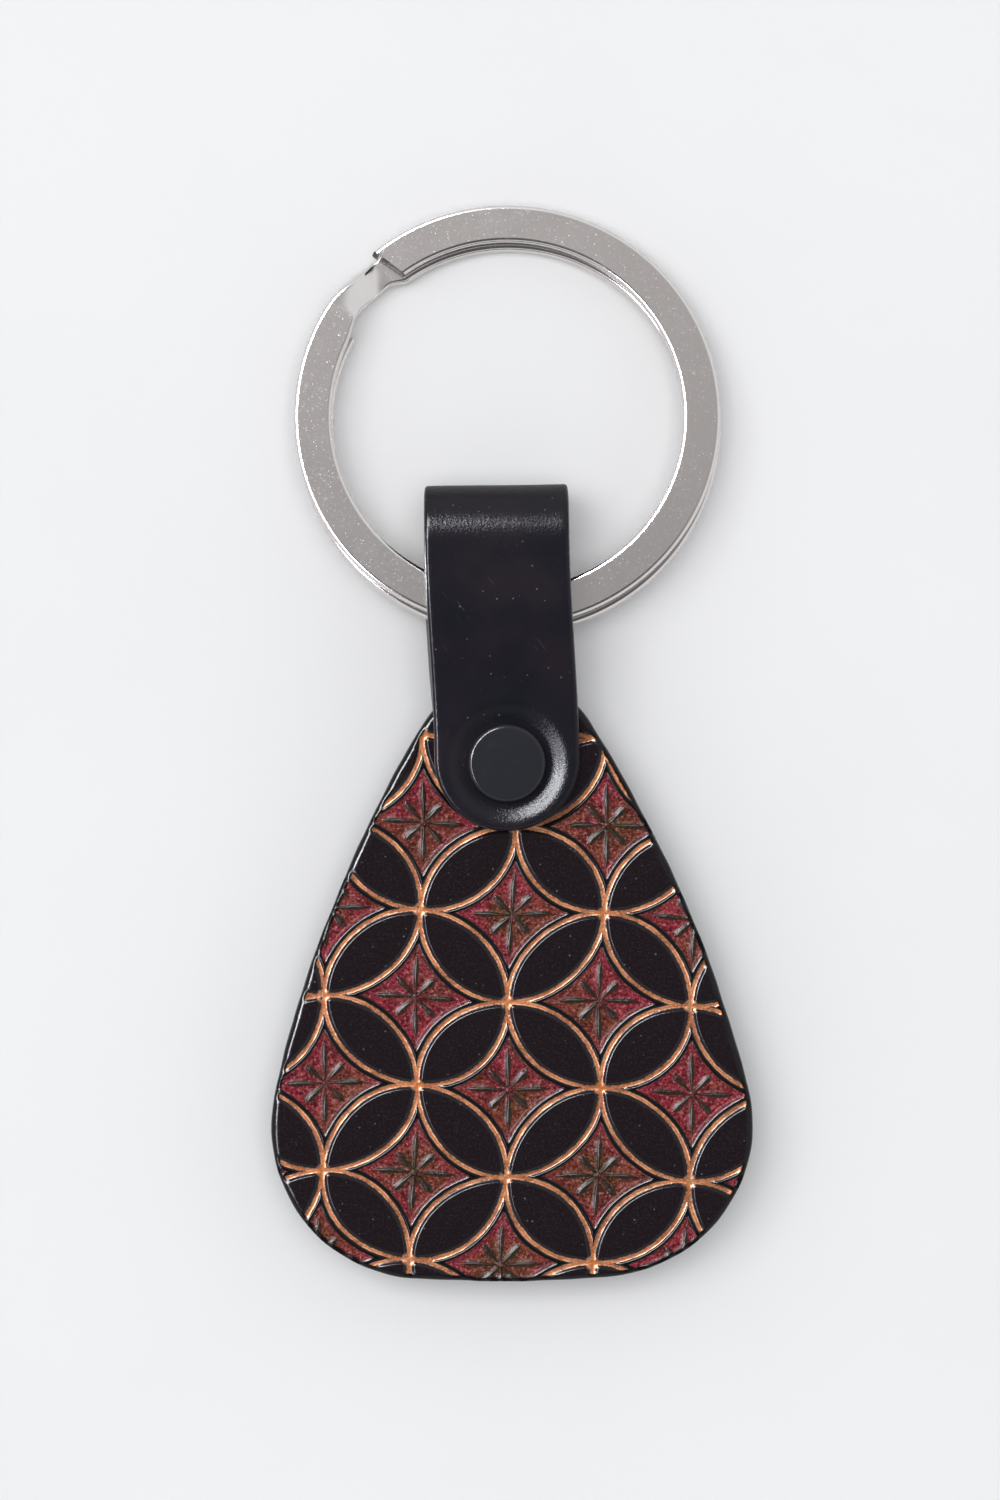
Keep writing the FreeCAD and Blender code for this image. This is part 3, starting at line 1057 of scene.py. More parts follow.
@dataclass(frozen=True)
class TooledLeather:
    """Lacquered black leather with copper lines, a crimson ground and dark olive rays."""

    tooling: Tooling
    petal: Colour = (0.0105, 0.007, 0.0085)
    petal_grain: Colour = (0.03, 0.022, 0.03)
    ridge: Colour = (0.004, 0.003, 0.0035)
    dust: Colour = (0.16, 0.14, 0.15)
    copper: Colour = (0.57, 0.275, 0.15)
    copper_dark: Colour = (0.115, 0.052, 0.034)
    # deep orange of the painted shade down the middle of the copper groove and in patches at its crossings
    copper_groove_shade: Colour = (0.36, 0.10, 0.025)
    crimson: Colour = (0.29, 0.028, 0.046)
    russet: Colour = (0.225, 0.052, 0.034)
    olive: Colour = (0.07, 0.04, 0.01)
    # dark red of the mottled patches, also the painted shade in the ground's grain hollows
    maroon: Colour = (0.025, 0.004, 0.006)
    # pale pink of the painted glints on the peaks of the ground's grain
    rubbed_and_glints: Colour = (0.55, 0.27, 0.27)
    ray: Colour = (0.009, 0.007, 0.004)
    petal_lacquer: float = 0.42
    ground_lacquer: float = 0.12
    ray_lacquer: float = 0.3
    ground_start: tuple[float, float] = (0.45, 0.54)
    knot_reach: tuple[float, float] = (0.38, 0.62)
    painted_rim: tuple[float, float] = (0.3, 0.45)
    rough_scale: float = 1.6
    grain_scale: float = 5.5

    def _ground(self, surface: Surface, values: ToolingField, rough: Wire, fine: Wire) -> Wire:
        """Colour of the dyed ground: crimson and russet patches, olive towards the stars, the grain's
        hollows darkened towards maroon as painted shade and its peaks flecked pale pink as painted glints.

        Args:
            surface: the material.
            values: the tooling.
            rough: noise a millimetre wide.
            fine: noise of the grain.

        Returns:
            The colour.
        """
        patch = noise(surface.place, 0.17, 2.0).step(0.42, 0.6)
        red = surface.mix(patch, self.crimson, self.russet)
        red = surface.mix(values.centre * (0.4 + patch * 0.6) * rough.step(0.25, 0.6), red, self.olive)
        worn = noise(surface.place, 0.9, 2.0)
        red = surface.mix((1.0 - worn.step(0.35, 0.52)) * 0.45, red, self.maroon)
        # painted shade: the grain's hollows, where the relief sinks, darkened towards maroon
        red = surface.mix((1.0 - fine.step(0.36, 0.54)) * 0.9, red, self.maroon)
        # painted glints: the grain's peaks, where the relief rises, flecked pale pink
        red = surface.mix(fine.step(0.55, 0.68) * 0.6, red, self.rubbed_and_glints)
        ray = surface.mix(fine.step(0.45, 0.8), self.ray, self.olive)
        return surface.mix(values.ray.step(0.05, 0.4) * 0.93, red, ray)

    def _copper(self, surface: Surface, edge: Wire, knot: Wire, rough: Wire, fine: Wire) -> Wire:
        """Colour of the rubbed copper line, dark in its core as painted shade down the groove's floor.

        Args:
            surface: the material.
            edge: distance from the line.
            knot: nearness of a crossing.
            rough: noise a millimetre wide.
            fine: noise of the grain.

        Returns:
            The colour.
        """
        rubbed_and_glints = noise(surface.place, 0.55, 3.0, 0.65).step(0.42, 0.58).math("MAXIMUM", knot * 0.8)
        line = surface.mix(rubbed_and_glints * 0.5 + fine.step(0.42, 0.58) * 0.45, self.copper_dark, self.copper)
        # painted shade: the middle of the copper groove, and patches at the crossings, darkened to deep
        # orange
        groove_shade = 1.0 - (edge + (rough - 0.5) * 0.1).math("ABSOLUTE").step(0.02, 0.08)
        dark = groove_shade.math("MAXIMUM", knot * rough.step(0.4, 0.6)) * 0.75
        return surface.mix(dark, line, self.copper_groove_shade)

    def material(self) -> bpy.types.Material:
        """Builds the material."""
        surface = Surface("tooled_leather", Coat_Roughness=0.12, Specular_IOR_Level=0.0)
        values = self.tooling.field(surface.place)
        rough = noise(surface.place, self.rough_scale, 3.0)
        fine = noise(surface.place, self.grain_scale, 3.0, 0.7)
        edge = values.edge + (rough - 0.5) * 0.14 + (fine - 0.5) * 0.06
        ground = edge.step(*self.ground_start)
        knot = 1.0 - (values.crossing + (rough - 0.5) * 0.5).step(*self.knot_reach)
        width = noise(surface.place, 0.5, 1.0) * 0.1 + 0.09
        copper = 1.0 - (edge - 0.01).math("ABSOLUTE").step(width - 0.03, width + 0.05)
        copper = copper.math("MAXIMUM", knot * rough.step(0.3, 0.42))
        specks = 1.0 - cells(surface.place, 1.5).step(0.05, 0.14)
        black = surface.mix(fine.step(0.48, 0.66) * 0.5, self.petal, self.petal_grain)
        black = surface.mix(specks * rough.step(0.45, 0.6) * 0.8, black, self.dust)
        colour = surface.mix(edge.step(-0.1, 0.1), black, self.ridge)
        colour = surface.mix(ground, colour, self._ground(surface, values, rough, fine))
        colour = surface.mix(copper, colour, self._copper(surface, edge, knot, rough, fine))
        rim = surface.attribute("edge_distance") + (rough - 0.5) * 0.25
        painted = rim.step(*self.painted_rim)
        surface.set("Base Color", surface.mix(painted, self.ridge, colour))
        surface.set("Metallic", copper * painted * 0.5)
        surface.set("Roughness", ground.between(copper.between(0.3, 0.38), 0.5) + (fine - 0.5) * 0.2)
        lacquer = ground.between(self.petal_lacquer, self.ground_lacquer)
        on_rays = ground * values.ray.step(0.05, 0.4) * self.ray_lacquer
        surface.set("Coat Weight", lacquer + on_rays)
        relief = ground.between(rough * 0.3 + fine * 0.3 + specks * 0.2, fine)
        surface.bump(relief, 0.05, 0.8, coat=True)
        return surface.material


@dataclass(frozen=True)
class GrainLeather:
    """Black leather with a natural grain, its creases between the pebbles darkened as painted shade."""

    name: str
    base: Colour = (0.012, 0.010, 0.010)
    worn: Colour = (0.035, 0.03, 0.028)
    grain_scale: float = 1.8
    grain_depth: float = 0.05
    rough: float = 0.45
    coat: float = 0.1

    def material(self) -> bpy.types.Material:
        """Builds the material."""
        surface = Surface(self.name, Coat_Weight=self.coat, Coat_Roughness=0.3, Specular_IOR_Level=0.5)
        warp = noise(surface.place, 0.9, 2.0)
        x, y, z = split(surface.place)
        moved = combine(surface.tree, x + warp * 0.8, y + warp * 0.6, z)
        pebble = cells(moved, self.grain_scale).step(0.0, 0.75)
        pores = noise(surface.place, 6.0, 3.0, 0.6)
        cloud = noise(surface.place, 0.25, 2.0)
        colour = surface.mix(cloud.step(0.35, 0.8) * 0.5, self.base, self.worn)
        # painted shade: the creases between the pebbles, where the bump sinks, darkened
        colour = surface.mix(pebble.step(0.75, 1.0) * 0.7, colour, tuple(c * 0.4 for c in self.base))
        surface.set("Base Color", colour)
        surface.set("Roughness", (cloud - 0.5) * 0.2 + pores * 0.12 + (self.rough - 0.06))
        surface.bump(1.0 - pebble * 0.8 + pores * 0.35, self.grain_depth)
        return surface.material


@dataclass(frozen=True)
class StrapLeather:
    """Smooth black strap leather with faint scratches along and across it."""

    base: Colour = (0.0085, 0.009, 0.0133)
    brown: Colour = (0.0165, 0.0125, 0.0175)
    rough: float = 0.36

    def material(self) -> bpy.types.Material:
        """Builds the material."""
        surface = Surface("strap_leather", Coat_Weight=0.32, Coat_Roughness=0.17, Specular_IOR_Level=0.0)
        x, y, z = split(surface.place)
        slant = combine(surface.tree, (x + y * 0.7) * 6.0, (y - x * 0.7) * 0.45, z)
        worn = noise(surface.place, 0.3, 1.0).step(0.48, 0.62)
        scratch = noise(slant, 1.0, 2.0).step(0.66, 0.76) * worn
        cloud = noise(surface.place, 0.2, 2.0)
        pores = noise(surface.place, 4.5, 3.0, 0.65)
        specks = 1.0 - cells(surface.place, 1.1).step(0.035, 0.09)
        colour = surface.mix(cloud.ramp(0.35, 0.7), self.base, self.brown)
        colour = surface.mix(specks * 0.6, colour, (0.2, 0.2, 0.21))
        surface.set("Base Color", surface.mix(scratch * 0.4, colour, (0.08, 0.075, 0.08)))
        surface.set("Roughness", (cloud - 0.5) * 0.1 + pores * 0.1 + scratch * 0.1 + (self.rough - 0.05))
        surface.bump(pores + cloud * 0.6 - scratch * 0.3, 0.035, 0.8, coat=True)
        return surface.material


@dataclass(frozen=True)
class CutEdge:
    """Cut wall of leather: pressed fibres, stained and rubbed smooth or left rough."""

    name: str
    base: Colour = (0.012, 0.011, 0.012)
    fibre: Colour = (0.10, 0.095, 0.095)
    fibre_share: float = 0.35
    rough: float = 0.4
    depth: float = 0.05

    def material(self) -> bpy.types.Material:
        """Builds the material."""
        surface = Surface(self.name, Coat_Weight=0.15, Coat_Roughness=0.25)
        fibres = noise(scaled(surface.place, (1.0, 1.0, 3.2)), 3.0, 4.0, 0.7)
        lump = noise(surface.place, 1.1, 2.0)
        shade = fibres.step(0.52, 0.74) * self.fibre_share
        surface.set("Base Color", surface.mix(shade, self.base, self.fibre))
        surface.set("Roughness", fibres * 0.25 + (self.rough - 0.1))
        surface.bump(fibres + lump * 0.6, self.depth)
        return surface.material


@dataclass(frozen=True)
class FleshSide:
    """Napped back of leather, dyed through."""

    name: str = "flesh_side"
    base: Colour = (0.018, 0.017, 0.017)
    nap: Colour = (0.055, 0.05, 0.048)

    def material(self) -> bpy.types.Material:
        """Builds the material."""
        surface = Surface(self.name, Sheen_Weight=0.3, Sheen_Roughness=0.5, Roughness=0.85)
        hair = noise(scaled(surface.place, (1.0, 2.4, 1.0)), 3.2, 5.0, 0.7)
        patch = noise(surface.place, 0.5, 2.0)
        share = hair.step(0.4, 0.75) * 0.7 + patch * 0.2
        surface.set("Base Color", surface.mix(share, self.base, self.nap))
        surface.bump(hair, 0.06)
        return surface.material


@dataclass(frozen=True)
class Nickel:
    """Polished nickel plate with fine handling marks."""

    base: Colour = (0.71, 0.67, 0.65)
    rough: float = 0.13

    def material(self) -> bpy.types.Material:
        """Builds the material."""
        surface = Surface("nickel_plate", Metallic=1.0, Specular_IOR_Level=0.5)
        x, y, z = split(surface.place)
        hair = noise(combine(surface.tree, x * 0.6 + y * 5.0, y * 0.6 - x * 4.0, z), 1.4, 3.0)
        haze = noise(surface.place, 0.5, 3.0)
        pits = 1.0 - cells(surface.place, 3.2).step(0.05, 0.14)
        surface.set("Base Color", surface.mix(haze * 0.35 + pits * 0.3, self.base, (0.5, 0.485, 0.47)))
        marks = hair.step(0.55, 0.8) * 0.1 + haze * 0.06 + pits * 0.15
        surface.set("Roughness", marks + (self.rough - 0.03))
        surface.bump(hair * 0.4 - pits * 0.5, 0.006, 0.35)
        return surface.material


@dataclass(frozen=True)
class Metal:
    """A plain or enamelled metal with a slight orange peel."""

    name: str
    base: Colour
    metallic: float
    rough: float
    coat: float = 0.0
    gloss: float = 0.5

    def material(self) -> bpy.types.Material:
        """Builds the material."""
        surface = Surface(self.name, Metallic=self.metallic, Coat_Weight=self.coat, Coat_Roughness=0.12,
                          Specular_IOR_Level=self.gloss)
        peel = noise(surface.place, 2.6, 2.0)
        wear = noise(surface.place, 0.9, 3.0)
        surface.set("Base Color", surface.mix(wear.step(0.55, 0.8) * 0.4, self.base,
                                              tuple(0.6 * c + 0.02 for c in self.base)))
        surface.set("Roughness", wear * 0.14 + (self.rough - 0.07))
        surface.bump(peel + noise(surface.place, 7.0, 2.0) * 0.8, 0.014, 0.7, coat=True)
        return surface.material


@dataclass(frozen=True)
class Plaster:
    """Pale, slightly uneven studio floor."""

    base: Colour = (0.82, 0.82, 0.83)

    def material(self) -> bpy.types.Material:
        """Builds the material."""
        surface = Surface("pale_floor", Roughness=0.85, Specular_IOR_Level=0.0)
        cloud = noise(surface.place, 0.03, 4.0, 0.6)
        fine = noise(surface.place, 0.5, 4.0, 0.6)
        surface.set("Base Color", surface.mix(cloud.step(0.35, 0.7), self.base,
                                              tuple(0.985 * c for c in self.base)))
        surface.bump(cloud * 2.0 + fine * 0.25, 0.25, 0.3)
        return surface.material


# ------------------------------------------------------------------------------------ sub-assemblies

class Face(Enum):
    """The two sides of the holder."""

    FRONT = 1
    REAR = -1


@dataclass
class Body:
    """The leather body: tooled leaf, backing leaf, welt and pocket panel."""

    outline: Outline = field(default_factory=Outline)
    tooling: Tooling = field(default_factory=Tooling)
    hole_radius: float = 1.5
    front_round: float = 0.5
    tooled_margin: tuple[float, float] = (0.12, 0.5)
    mouth_y: float = -17.0
    notch_radius: float = 8.0
    notch_y: float = -12.2
    welt_width: float = 2.2
    crease_inset: float = 1.5
    crease_depth: float = 0.16
    crease_width: float = 0.16
    pucker: float = 0.012
    panel_corner: float = 1.3
    welt_corner: float = 0.5

    def build(self) -> list[bpy.types.Object]:
        """Makes and dresses every piece of the body.

        Returns:
            The pieces.
        """
        loop = self.outline.loop()
        grain = GrainLeather("body_leather").material()
        flesh = FleshSide().material()
        wall = CutEdge("burnished_edge", fibre_share=0.25, rough=0.3).material()
        pieces = [self.front_leaf(loop, flesh, wall), self.backing_leaf(loop, grain, flesh, wall),
                  self.welt(grain, wall), self.panel(flesh, grain, wall)]
        for piece in pieces:
            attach(piece, "holder")
        return pieces

    def front_leaf(self, loop: Array, flesh: bpy.types.Material,
                   wall: bpy.types.Material) -> bpy.types.Object:
        """The tooled leaf, its pattern raised and sunk by geometry nodes.

        Args:
            loop: the body's outline.
            flesh: finish of its back.
            wall: finish of its edge.

        Returns:
            The piece.
        """
        low, high = heights("front_leaf")
        sheet = Sheet("tooled_front_leaf", loop, low, high, low_round=0.1, high_round=self.front_round,
                      spacing=0.26, holes=[((0.0, 0.0), self.hole_radius)],
                      guides=self.tooling.guides(), wall_rows=12)
        finish = TooledLeather(self.tooling).material()
        piece = sheet.build([finish, flesh, wall])
        self._tool(piece, finish)
        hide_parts("front_leaf")
        return piece

    def _tool(self, piece: bpy.types.Object, finish: bpy.types.Material) -> None:
        """Raises and sinks the pattern on the leaf's front face.

        Args:
            piece: the plain leaf.
            finish: material of the tooled face.
        """
        pattern = self.tooling
        tool = GeometryTool("tooling", {
            "Groove depth": pattern.groove_depth, "Ridge rise": pattern.ridge_rise,
            "Ground drop": pattern.ground_drop, "Petal crown": pattern.petal_crown,
            "Ray rise": pattern.ray_rise, "Ground grain": 0.035, "Rim start": self.tooled_margin[0],
            "Rim end": self.tooled_margin[1]})
        place = Wire(tool.tree, tool.node("GeometryNodeInputPosition").outputs[0])
        position = scaled(place, (1 / MM, 1 / MM, 1 / MM))
        values = pattern.field(position)
        index = Wire(tool.tree, tool.node("GeometryNodeInputMaterialIndex").outputs[0])
        front = index.math("LESS_THAN", 0.5)
        stored = tool.node("GeometryNodeInputNamedAttribute", data_type="FLOAT")
        stored.inputs["Name"].default_value = "edge_distance"
        edge = Wire(tool.tree, stored.outputs["Attribute"])
        rim = edge.step(tool.size("Rim start"), tool.size("Rim end"))
        ground = values.edge.ramp(*pattern.ridge_outer)
        height = ((-values.edge).step(0.5, 2.2) * tool.size("Petal crown")
                  - values.edge.ramp(*pattern.petal_shoulder) * tool.size("Groove depth")
                  + values.edge.step(*pattern.ridge_inner) * tool.size("Ridge rise")
                  - ground * tool.size("Ground drop")
                  + ground * values.ray * tool.size("Ray rise")
                  + ground * (noise(position, 2.6, 2.0) - 0.5) * tool.size("Ground grain"))
        _, _, z = split(position)
        _, face = heights("front_leaf")
        top = z.step(face - self.front_round, face - 0.05)
        offset = combine(tool.tree, 0.0, 0.0, height * rim * top * MM)
        tool.through("GeometryNodeSetPosition", {"Offset": offset})
        tool.apply(piece, finish, front)

    def backing_leaf(self, loop: Array, grain: bpy.types.Material, flesh: bpy.types.Material,
                     wall: bpy.types.Material) -> bpy.types.Object:
        """The plain leaf behind the tooled one.

        Args:
            loop: the body's outline.
            grain: finish of its back.
            flesh: finish of its glued front.
            wall: finish of its edge.

        Returns:
            The piece.
        """
        low, high = heights("backing_leaf")
        sheet = Sheet("backing_leaf_dressed", loop, low, high, low_round=0.2, high_round=0.1, spacing=0.6,
                      holes=[((0.0, 0.0), self.hole_radius)], bands=self._crease_bands(),
                      low_relief=self._crease)
        piece = sheet.build([flesh, grain, wall])
        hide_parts("backing_leaf")
        return piece

    def _crease_bands(self) -> tuple[float, ...]:
        """Distances from the edge at which the creased faces need points."""
        return tuple(self.crease_inset + 0.12 * k for k in range(-3, 4))

    def _crease(self, points: Array, edge: Array) -> Array:
        """Height of the creased line along the rear edges.

        Args:
            points: plan points.
            edge: their distances from the edge.

        Returns:
            Heights, positive into the leather from its rear face.
        """
        waves = self.pucker * np.sin(0.9 * points[:, 0] + 1.1 * np.sin(0.7 * points[:, 1]))
        aside = (edge - self.crease_inset) / self.crease_width
        return self.crease_depth * np.exp(-aside ** 2) + np.clip(waves, 0, 1)

    @staticmethod
    def _opened(points: Array) -> Array:
        """A stretch of a closed outline, numbered from its open end.

        Args:
            points: (n, 2) points of the stretch, in the outline's order.

        Returns:
            The points, starting after their widest gap.
        """
        jump = int(np.linalg.norm(points - np.roll(points, 1, axis=0), axis=1).argmax())
        return np.roll(points, -jump, axis=0)

    def _below_mouth(self) -> Array:
        """Outline of the pocket panel below its mouth.

        Returns:
            Closed outline, counter-clockwise, with slightly rounded corners.
        """
        loop = self.outline.loop()
        below = self._opened(loop[loop[:, 1] < self.mouth_y])
        reach = math.sqrt(self.notch_radius ** 2 - (self.mouth_y - self.notch_y) ** 2)
        start = math.atan2(self.mouth_y - self.notch_y, reach)
        notch = arc((0.0, self.notch_y), self.notch_radius, np.linspace(start, -math.pi - start, 60))
        right, left = (below[-1, 0], self.mouth_y), (below[0, 0], self.mouth_y)
        path = np.concatenate([below, [right], notch, [left]])
        return softened(even_loop(path), self.panel_corner)

    def welt(self, grain: bpy.types.Material, wall: bpy.types.Material) -> bpy.types.Object:
        """The U-shaped strip between backing leaf and pocket panel.

        Args:
            grain: finish of its faces.
            wall: finish of its edges.

        Returns:
            The piece.
        """
        low, high = heights("pocket_welt")
        loop = self.outline.loop()
        below = loop[:, 1] < self.mouth_y
        inner = loop + Sheet("", loop, low, high).inward * self.welt_width
        path = np.concatenate([self._opened(loop[below]), self._opened(inner[below])[::-1]])
        sheet = Sheet("pocket_welt_dressed", softened(even_loop(path), self.welt_corner), low, high,
                      low_round=0.08, high_round=0.08, spacing=0.5)
        piece = sheet.build([grain, grain, wall])
        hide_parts("pocket_welt")
        return piece

    def panel(self, flesh: bpy.types.Material, grain: bpy.types.Material,
              wall: bpy.types.Material) -> bpy.types.Object:
        """The rear panel of the pocket, creased along its edge.

        Args:
            flesh: finish of its inner face.
            grain: finish of its rear face.
            wall: finish of its edge.

        Returns:
            The piece.
        """
        low, high = heights("pocket_panel")
        sheet = Sheet("pocket_panel_dressed", self._below_mouth(), low, high, low_round=0.35,
                      high_round=0.1, spacing=0.5, bands=self._crease_bands(), low_relief=self._crease)
        piece = sheet.build([flesh, grain, wall])
        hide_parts("pocket_panel")
        return piece


@dataclass
class Strap:
    """One strip of leather folded over the ring, its two round ends on the rivet."""

    width: float = 10.7
    thick: float = 1.6
    end_y: float = 0.3
    rear_bend: tuple[float, float] = (4.6, 5.0)
    front_bend: tuple[float, float] = (3.4, 9.5)
    edge_round: float = 0.28
    dish_radius: float = 2.95
    dish_edge: float = 4.75
    dish_depth: float = 0.5
    rear_dish_depth: float = 0.1
    crown_rise: float = 0.02
    lean: float = -0.52
    lean_start: float = 1.0
    rear_shift: float = -0.2
    rear_shift_middle: float = 10.0
    rear_shift_reach: float = 6.0
    rear_end_share: float = 0.52
    rear_fade_share: float = 0.16
    clearance: float = 0.02
    line_step: float = 0.02
    hole_radius: float = 1.5

    def __post_init__(self) -> None:
        """Works out the centre line from the frame."""
        strap_low, strap_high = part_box("strap")
        body_back, body_front = heights("backing_leaf")[0], heights("front_leaf")[1]
        half = self.thick / 2
        rear, front = body_back - self.clearance - half, body_front + self.clearance + half
        floor, roof = strap_low.z / MM + half, strap_high.z / MM - half
        self.fold_radius = (roof - floor) / 2
        self.fold_y = strap_high.y / MM - RIVET_Y - half - self.fold_radius
        self.tip_y = self.end_y - self.width / 2
        runs = [(self.rear_bend[0] - self.tip_y, 0.0),
                *self._offset(floor - rear, self.rear_bend[1]),
                (self.fold_y - sum(self.rear_bend), 0.0),
                (math.pi * self.fold_radius, 1 / self.fold_radius),
                (self.fold_y - sum(self.front_bend), 0.0),
                *self._offset(roof - front, self.front_bend[1]),
                (self.front_bend[0] - self.tip_y, 0.0)]
        step = self.line_step
        length = sum(run for run, _ in runs)
        self.along = np.arange(0, length + step, step)
        ends = np.cumsum([run for run, _ in runs])
        last = len(runs) - 1
        turning = np.array([runs[min(int(np.searchsorted(ends, s)), last)][1] for s in self.along])
        self.heading = np.concatenate([[0], np.cumsum((turning[1:] + turning[:-1]) / 2 * step)])
        self.line_y = self.tip_y + np.concatenate([[0], np.cumsum(np.cos(self.heading[:-1]) * step)])
        self.line_z = rear + np.concatenate([[0], np.cumsum(np.sin(self.heading[:-1]) * step)])
        self.length = length

    @staticmethod
    def _offset(shift: float, run: float) -> list[tuple[float, float]]:
        """Two opposite arcs that move the strip sideways.

        Args:
            shift: how far it moves to the left of its heading.
            run: how far it moves ahead meanwhile.

        Returns:
            Arc lengths and curvatures.
        """
        angle = 2 * math.atan2(abs(shift), run)
        radius = run / (2 * math.sin(angle))
        sign = math.copysign(1.0, shift)
        return [(radius * angle, sign / radius), (radius * angle, -sign / radius)]

    def _bend(self, points: Array) -> Array:
        """Carries points of the unrolled strip onto its folded line.

        Args:
            points: (n, 3) across, along and height off the middle, outwards negative.

        Returns:
            (n, 3) places in the frame.
        """
        s = points[:, 1]
        heading = np.interp(s, self.along, self.heading)
        y = np.interp(s, self.along, self.line_y) - np.sin(heading) * points[:, 2]
        z = np.interp(s, self.along, self.line_z) + np.cos(heading) * points[:, 2]
        lean = self.lean * eased((y - self.lean_start) / (self.fold_y - self.lean_start))
        rear = eased((self.rear_end_share - s / self.length) / self.rear_fade_share)
        aside = (y - self.rear_shift_middle) / self.rear_shift_reach
        rear_shift = self.rear_shift * np.exp(-aside ** 4) * rear
        return np.column_stack([RIVET_X - points[:, 0] + lean + rear_shift, RIVET_Y + y, z])

    def _dish(self, points: Array, edge: Array) -> Array:
        """Relief of the outer face: pulled in round the caps, a little crowned and rubbed.

        Args:
            points: plan points of the unrolled strip.
            edge: their distances from the edge.

        Returns:
            Heights, positive towards the fold's inside.
        """
        waves = np.sin(0.55 * points[:, 1] + 0.4 * points[:, 0])
        relief = self.crown_rise * waves * np.clip(edge / 2, 0, 1)
        for centre in self._hole_places():
            radius = np.hypot(points[:, 0] - centre[0], points[:, 1] - centre[1])
            depth = self.dish_depth if centre[1] > self.length / 2 else self.rear_dish_depth
            relief = relief + depth * eased((self.dish_edge - radius) / (self.dish_edge - self.dish_radius))
        return relief

    def _hole_places(self) -> list[tuple[float, float]]:
        """Middles of the two rivet holes on the unrolled strip."""
        inset = self.width / 2 - self.end_y
        return [(0.0, inset), (0.0, self.length - inset)]

    def build(self) -> list[bpy.types.Object]:
        """Makes and dresses the strap.

        Returns:
            The piece, in a list.
        """
        half = self.width / 2
        low = arc((0.0, half), half, np.linspace(math.pi, 2 * math.pi, 60))
        high = low[::-1] * (1, -1) + (0, self.length)
        loop = even_loop(np.concatenate([low, high]))
        holes = [(place, self.hole_radius) for place in self._hole_places()]
        sheet = Sheet("folded_strap", loop, -self.thick / 2, self.thick / 2, low_round=self.edge_round,
                      high_round=0.18, spacing=0.27, holes=holes, low_relief=self._dish, bend=self._bend,
                      wall_rows=9, wall_belly=0.06)
        piece = sheet.build([FleshSide("strap_flesh").material(), StrapLeather().material(),
                             CutEdge("strap_edge", fibre_share=0.6, rough=0.55, depth=0.09).material()])
        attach(piece, "loop_strap")
        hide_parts("strap")
        return [piece]


@dataclass
class Rivet:
    """Double cap rivet: two enamelled caps, a steel barrel and a steel stem."""

    radius: float = 2.89
    edge_round: float = 0.34
    crown: float = 0.1
    sheet: float = 0.2
    rim_bevel: float = 0.08
    opening: float = 2.2

    def cap(self, node: str, side: Face, finish: bpy.types.Material) -> bpy.types.Object:
        """One cap: a drawn cup with a slightly domed face and a rolled rim.

        Args:
            node: the frame's node that it stands for.
            side: which way its face looks.
            finish: its material.

        Returns:
            The piece.
        """
        low, high = heights(node)
        face, seat = (high, low) if side is Face.FRONT else (low, high)
        sign = side.value
        depth = abs(face - seat)
        corner = min(self.edge_round, 0.45 * depth)
        outer = [(r, face - sign * self.crown * (r / self.radius) ** 2)
                 for r in np.linspace(0, self.radius - corner, 14)]
        level = outer[-1][1]
        outer += [(self.radius - corner + corner * math.sin(a), level - sign * corner * (1 - math.cos(a)))
                  for a in np.radians(np.arange(12, 91, 13))]
        outer += [(self.radius, seat + sign * self.rim_bevel), (self.radius - self.rim_bevel, seat)]
        lip = seat + sign * self.sheet * 0.8
        inner = [(self.opening, seat), (self.opening, lip), (self.radius - self.sheet, lip),
                 (self.radius - self.sheet, face - sign * (self.sheet + 0.12)),
                 (0.0, face - sign * (self.sheet + 0.02))]
        draft = MeshDraft()
        rows = lathe(np.array(outer + inner))
        draft.grid(rows if sign < 0 else rows[:, ::-1])
        piece = draft.build(f"{node}_dressed", [finish])
        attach(piece, "holder")
        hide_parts(node)
        return piece

    def build(self) -> list[bpy.types.Object]:
        """Makes the caps and dresses the barrel and the stem.

        Returns:
            The pieces.
        """
        enamel = Metal("black_enamel_paint", base=(0.021, 0.0215, 0.0265), metallic=0.0, rough=0.36,
                       coat=0.4, gloss=0.0).material()
        steel = Metal("rivet_steel_plain", base=(0.55, 0.54, 0.52), metallic=1.0, rough=0.3).material()
        for node in ("rivet_barrel", "rivet_stem"):
            mesh = frame["nodes"][node].data
            mesh.materials.clear()
            mesh.materials.append(steel)
        return [self.cap("rivet_front_cap", Face.FRONT, enamel),
                self.cap("rivet_rear_cap", Face.REAR, enamel),
                frame["nodes"]["rivet_barrel"], frame["nodes"]["rivet_stem"]]


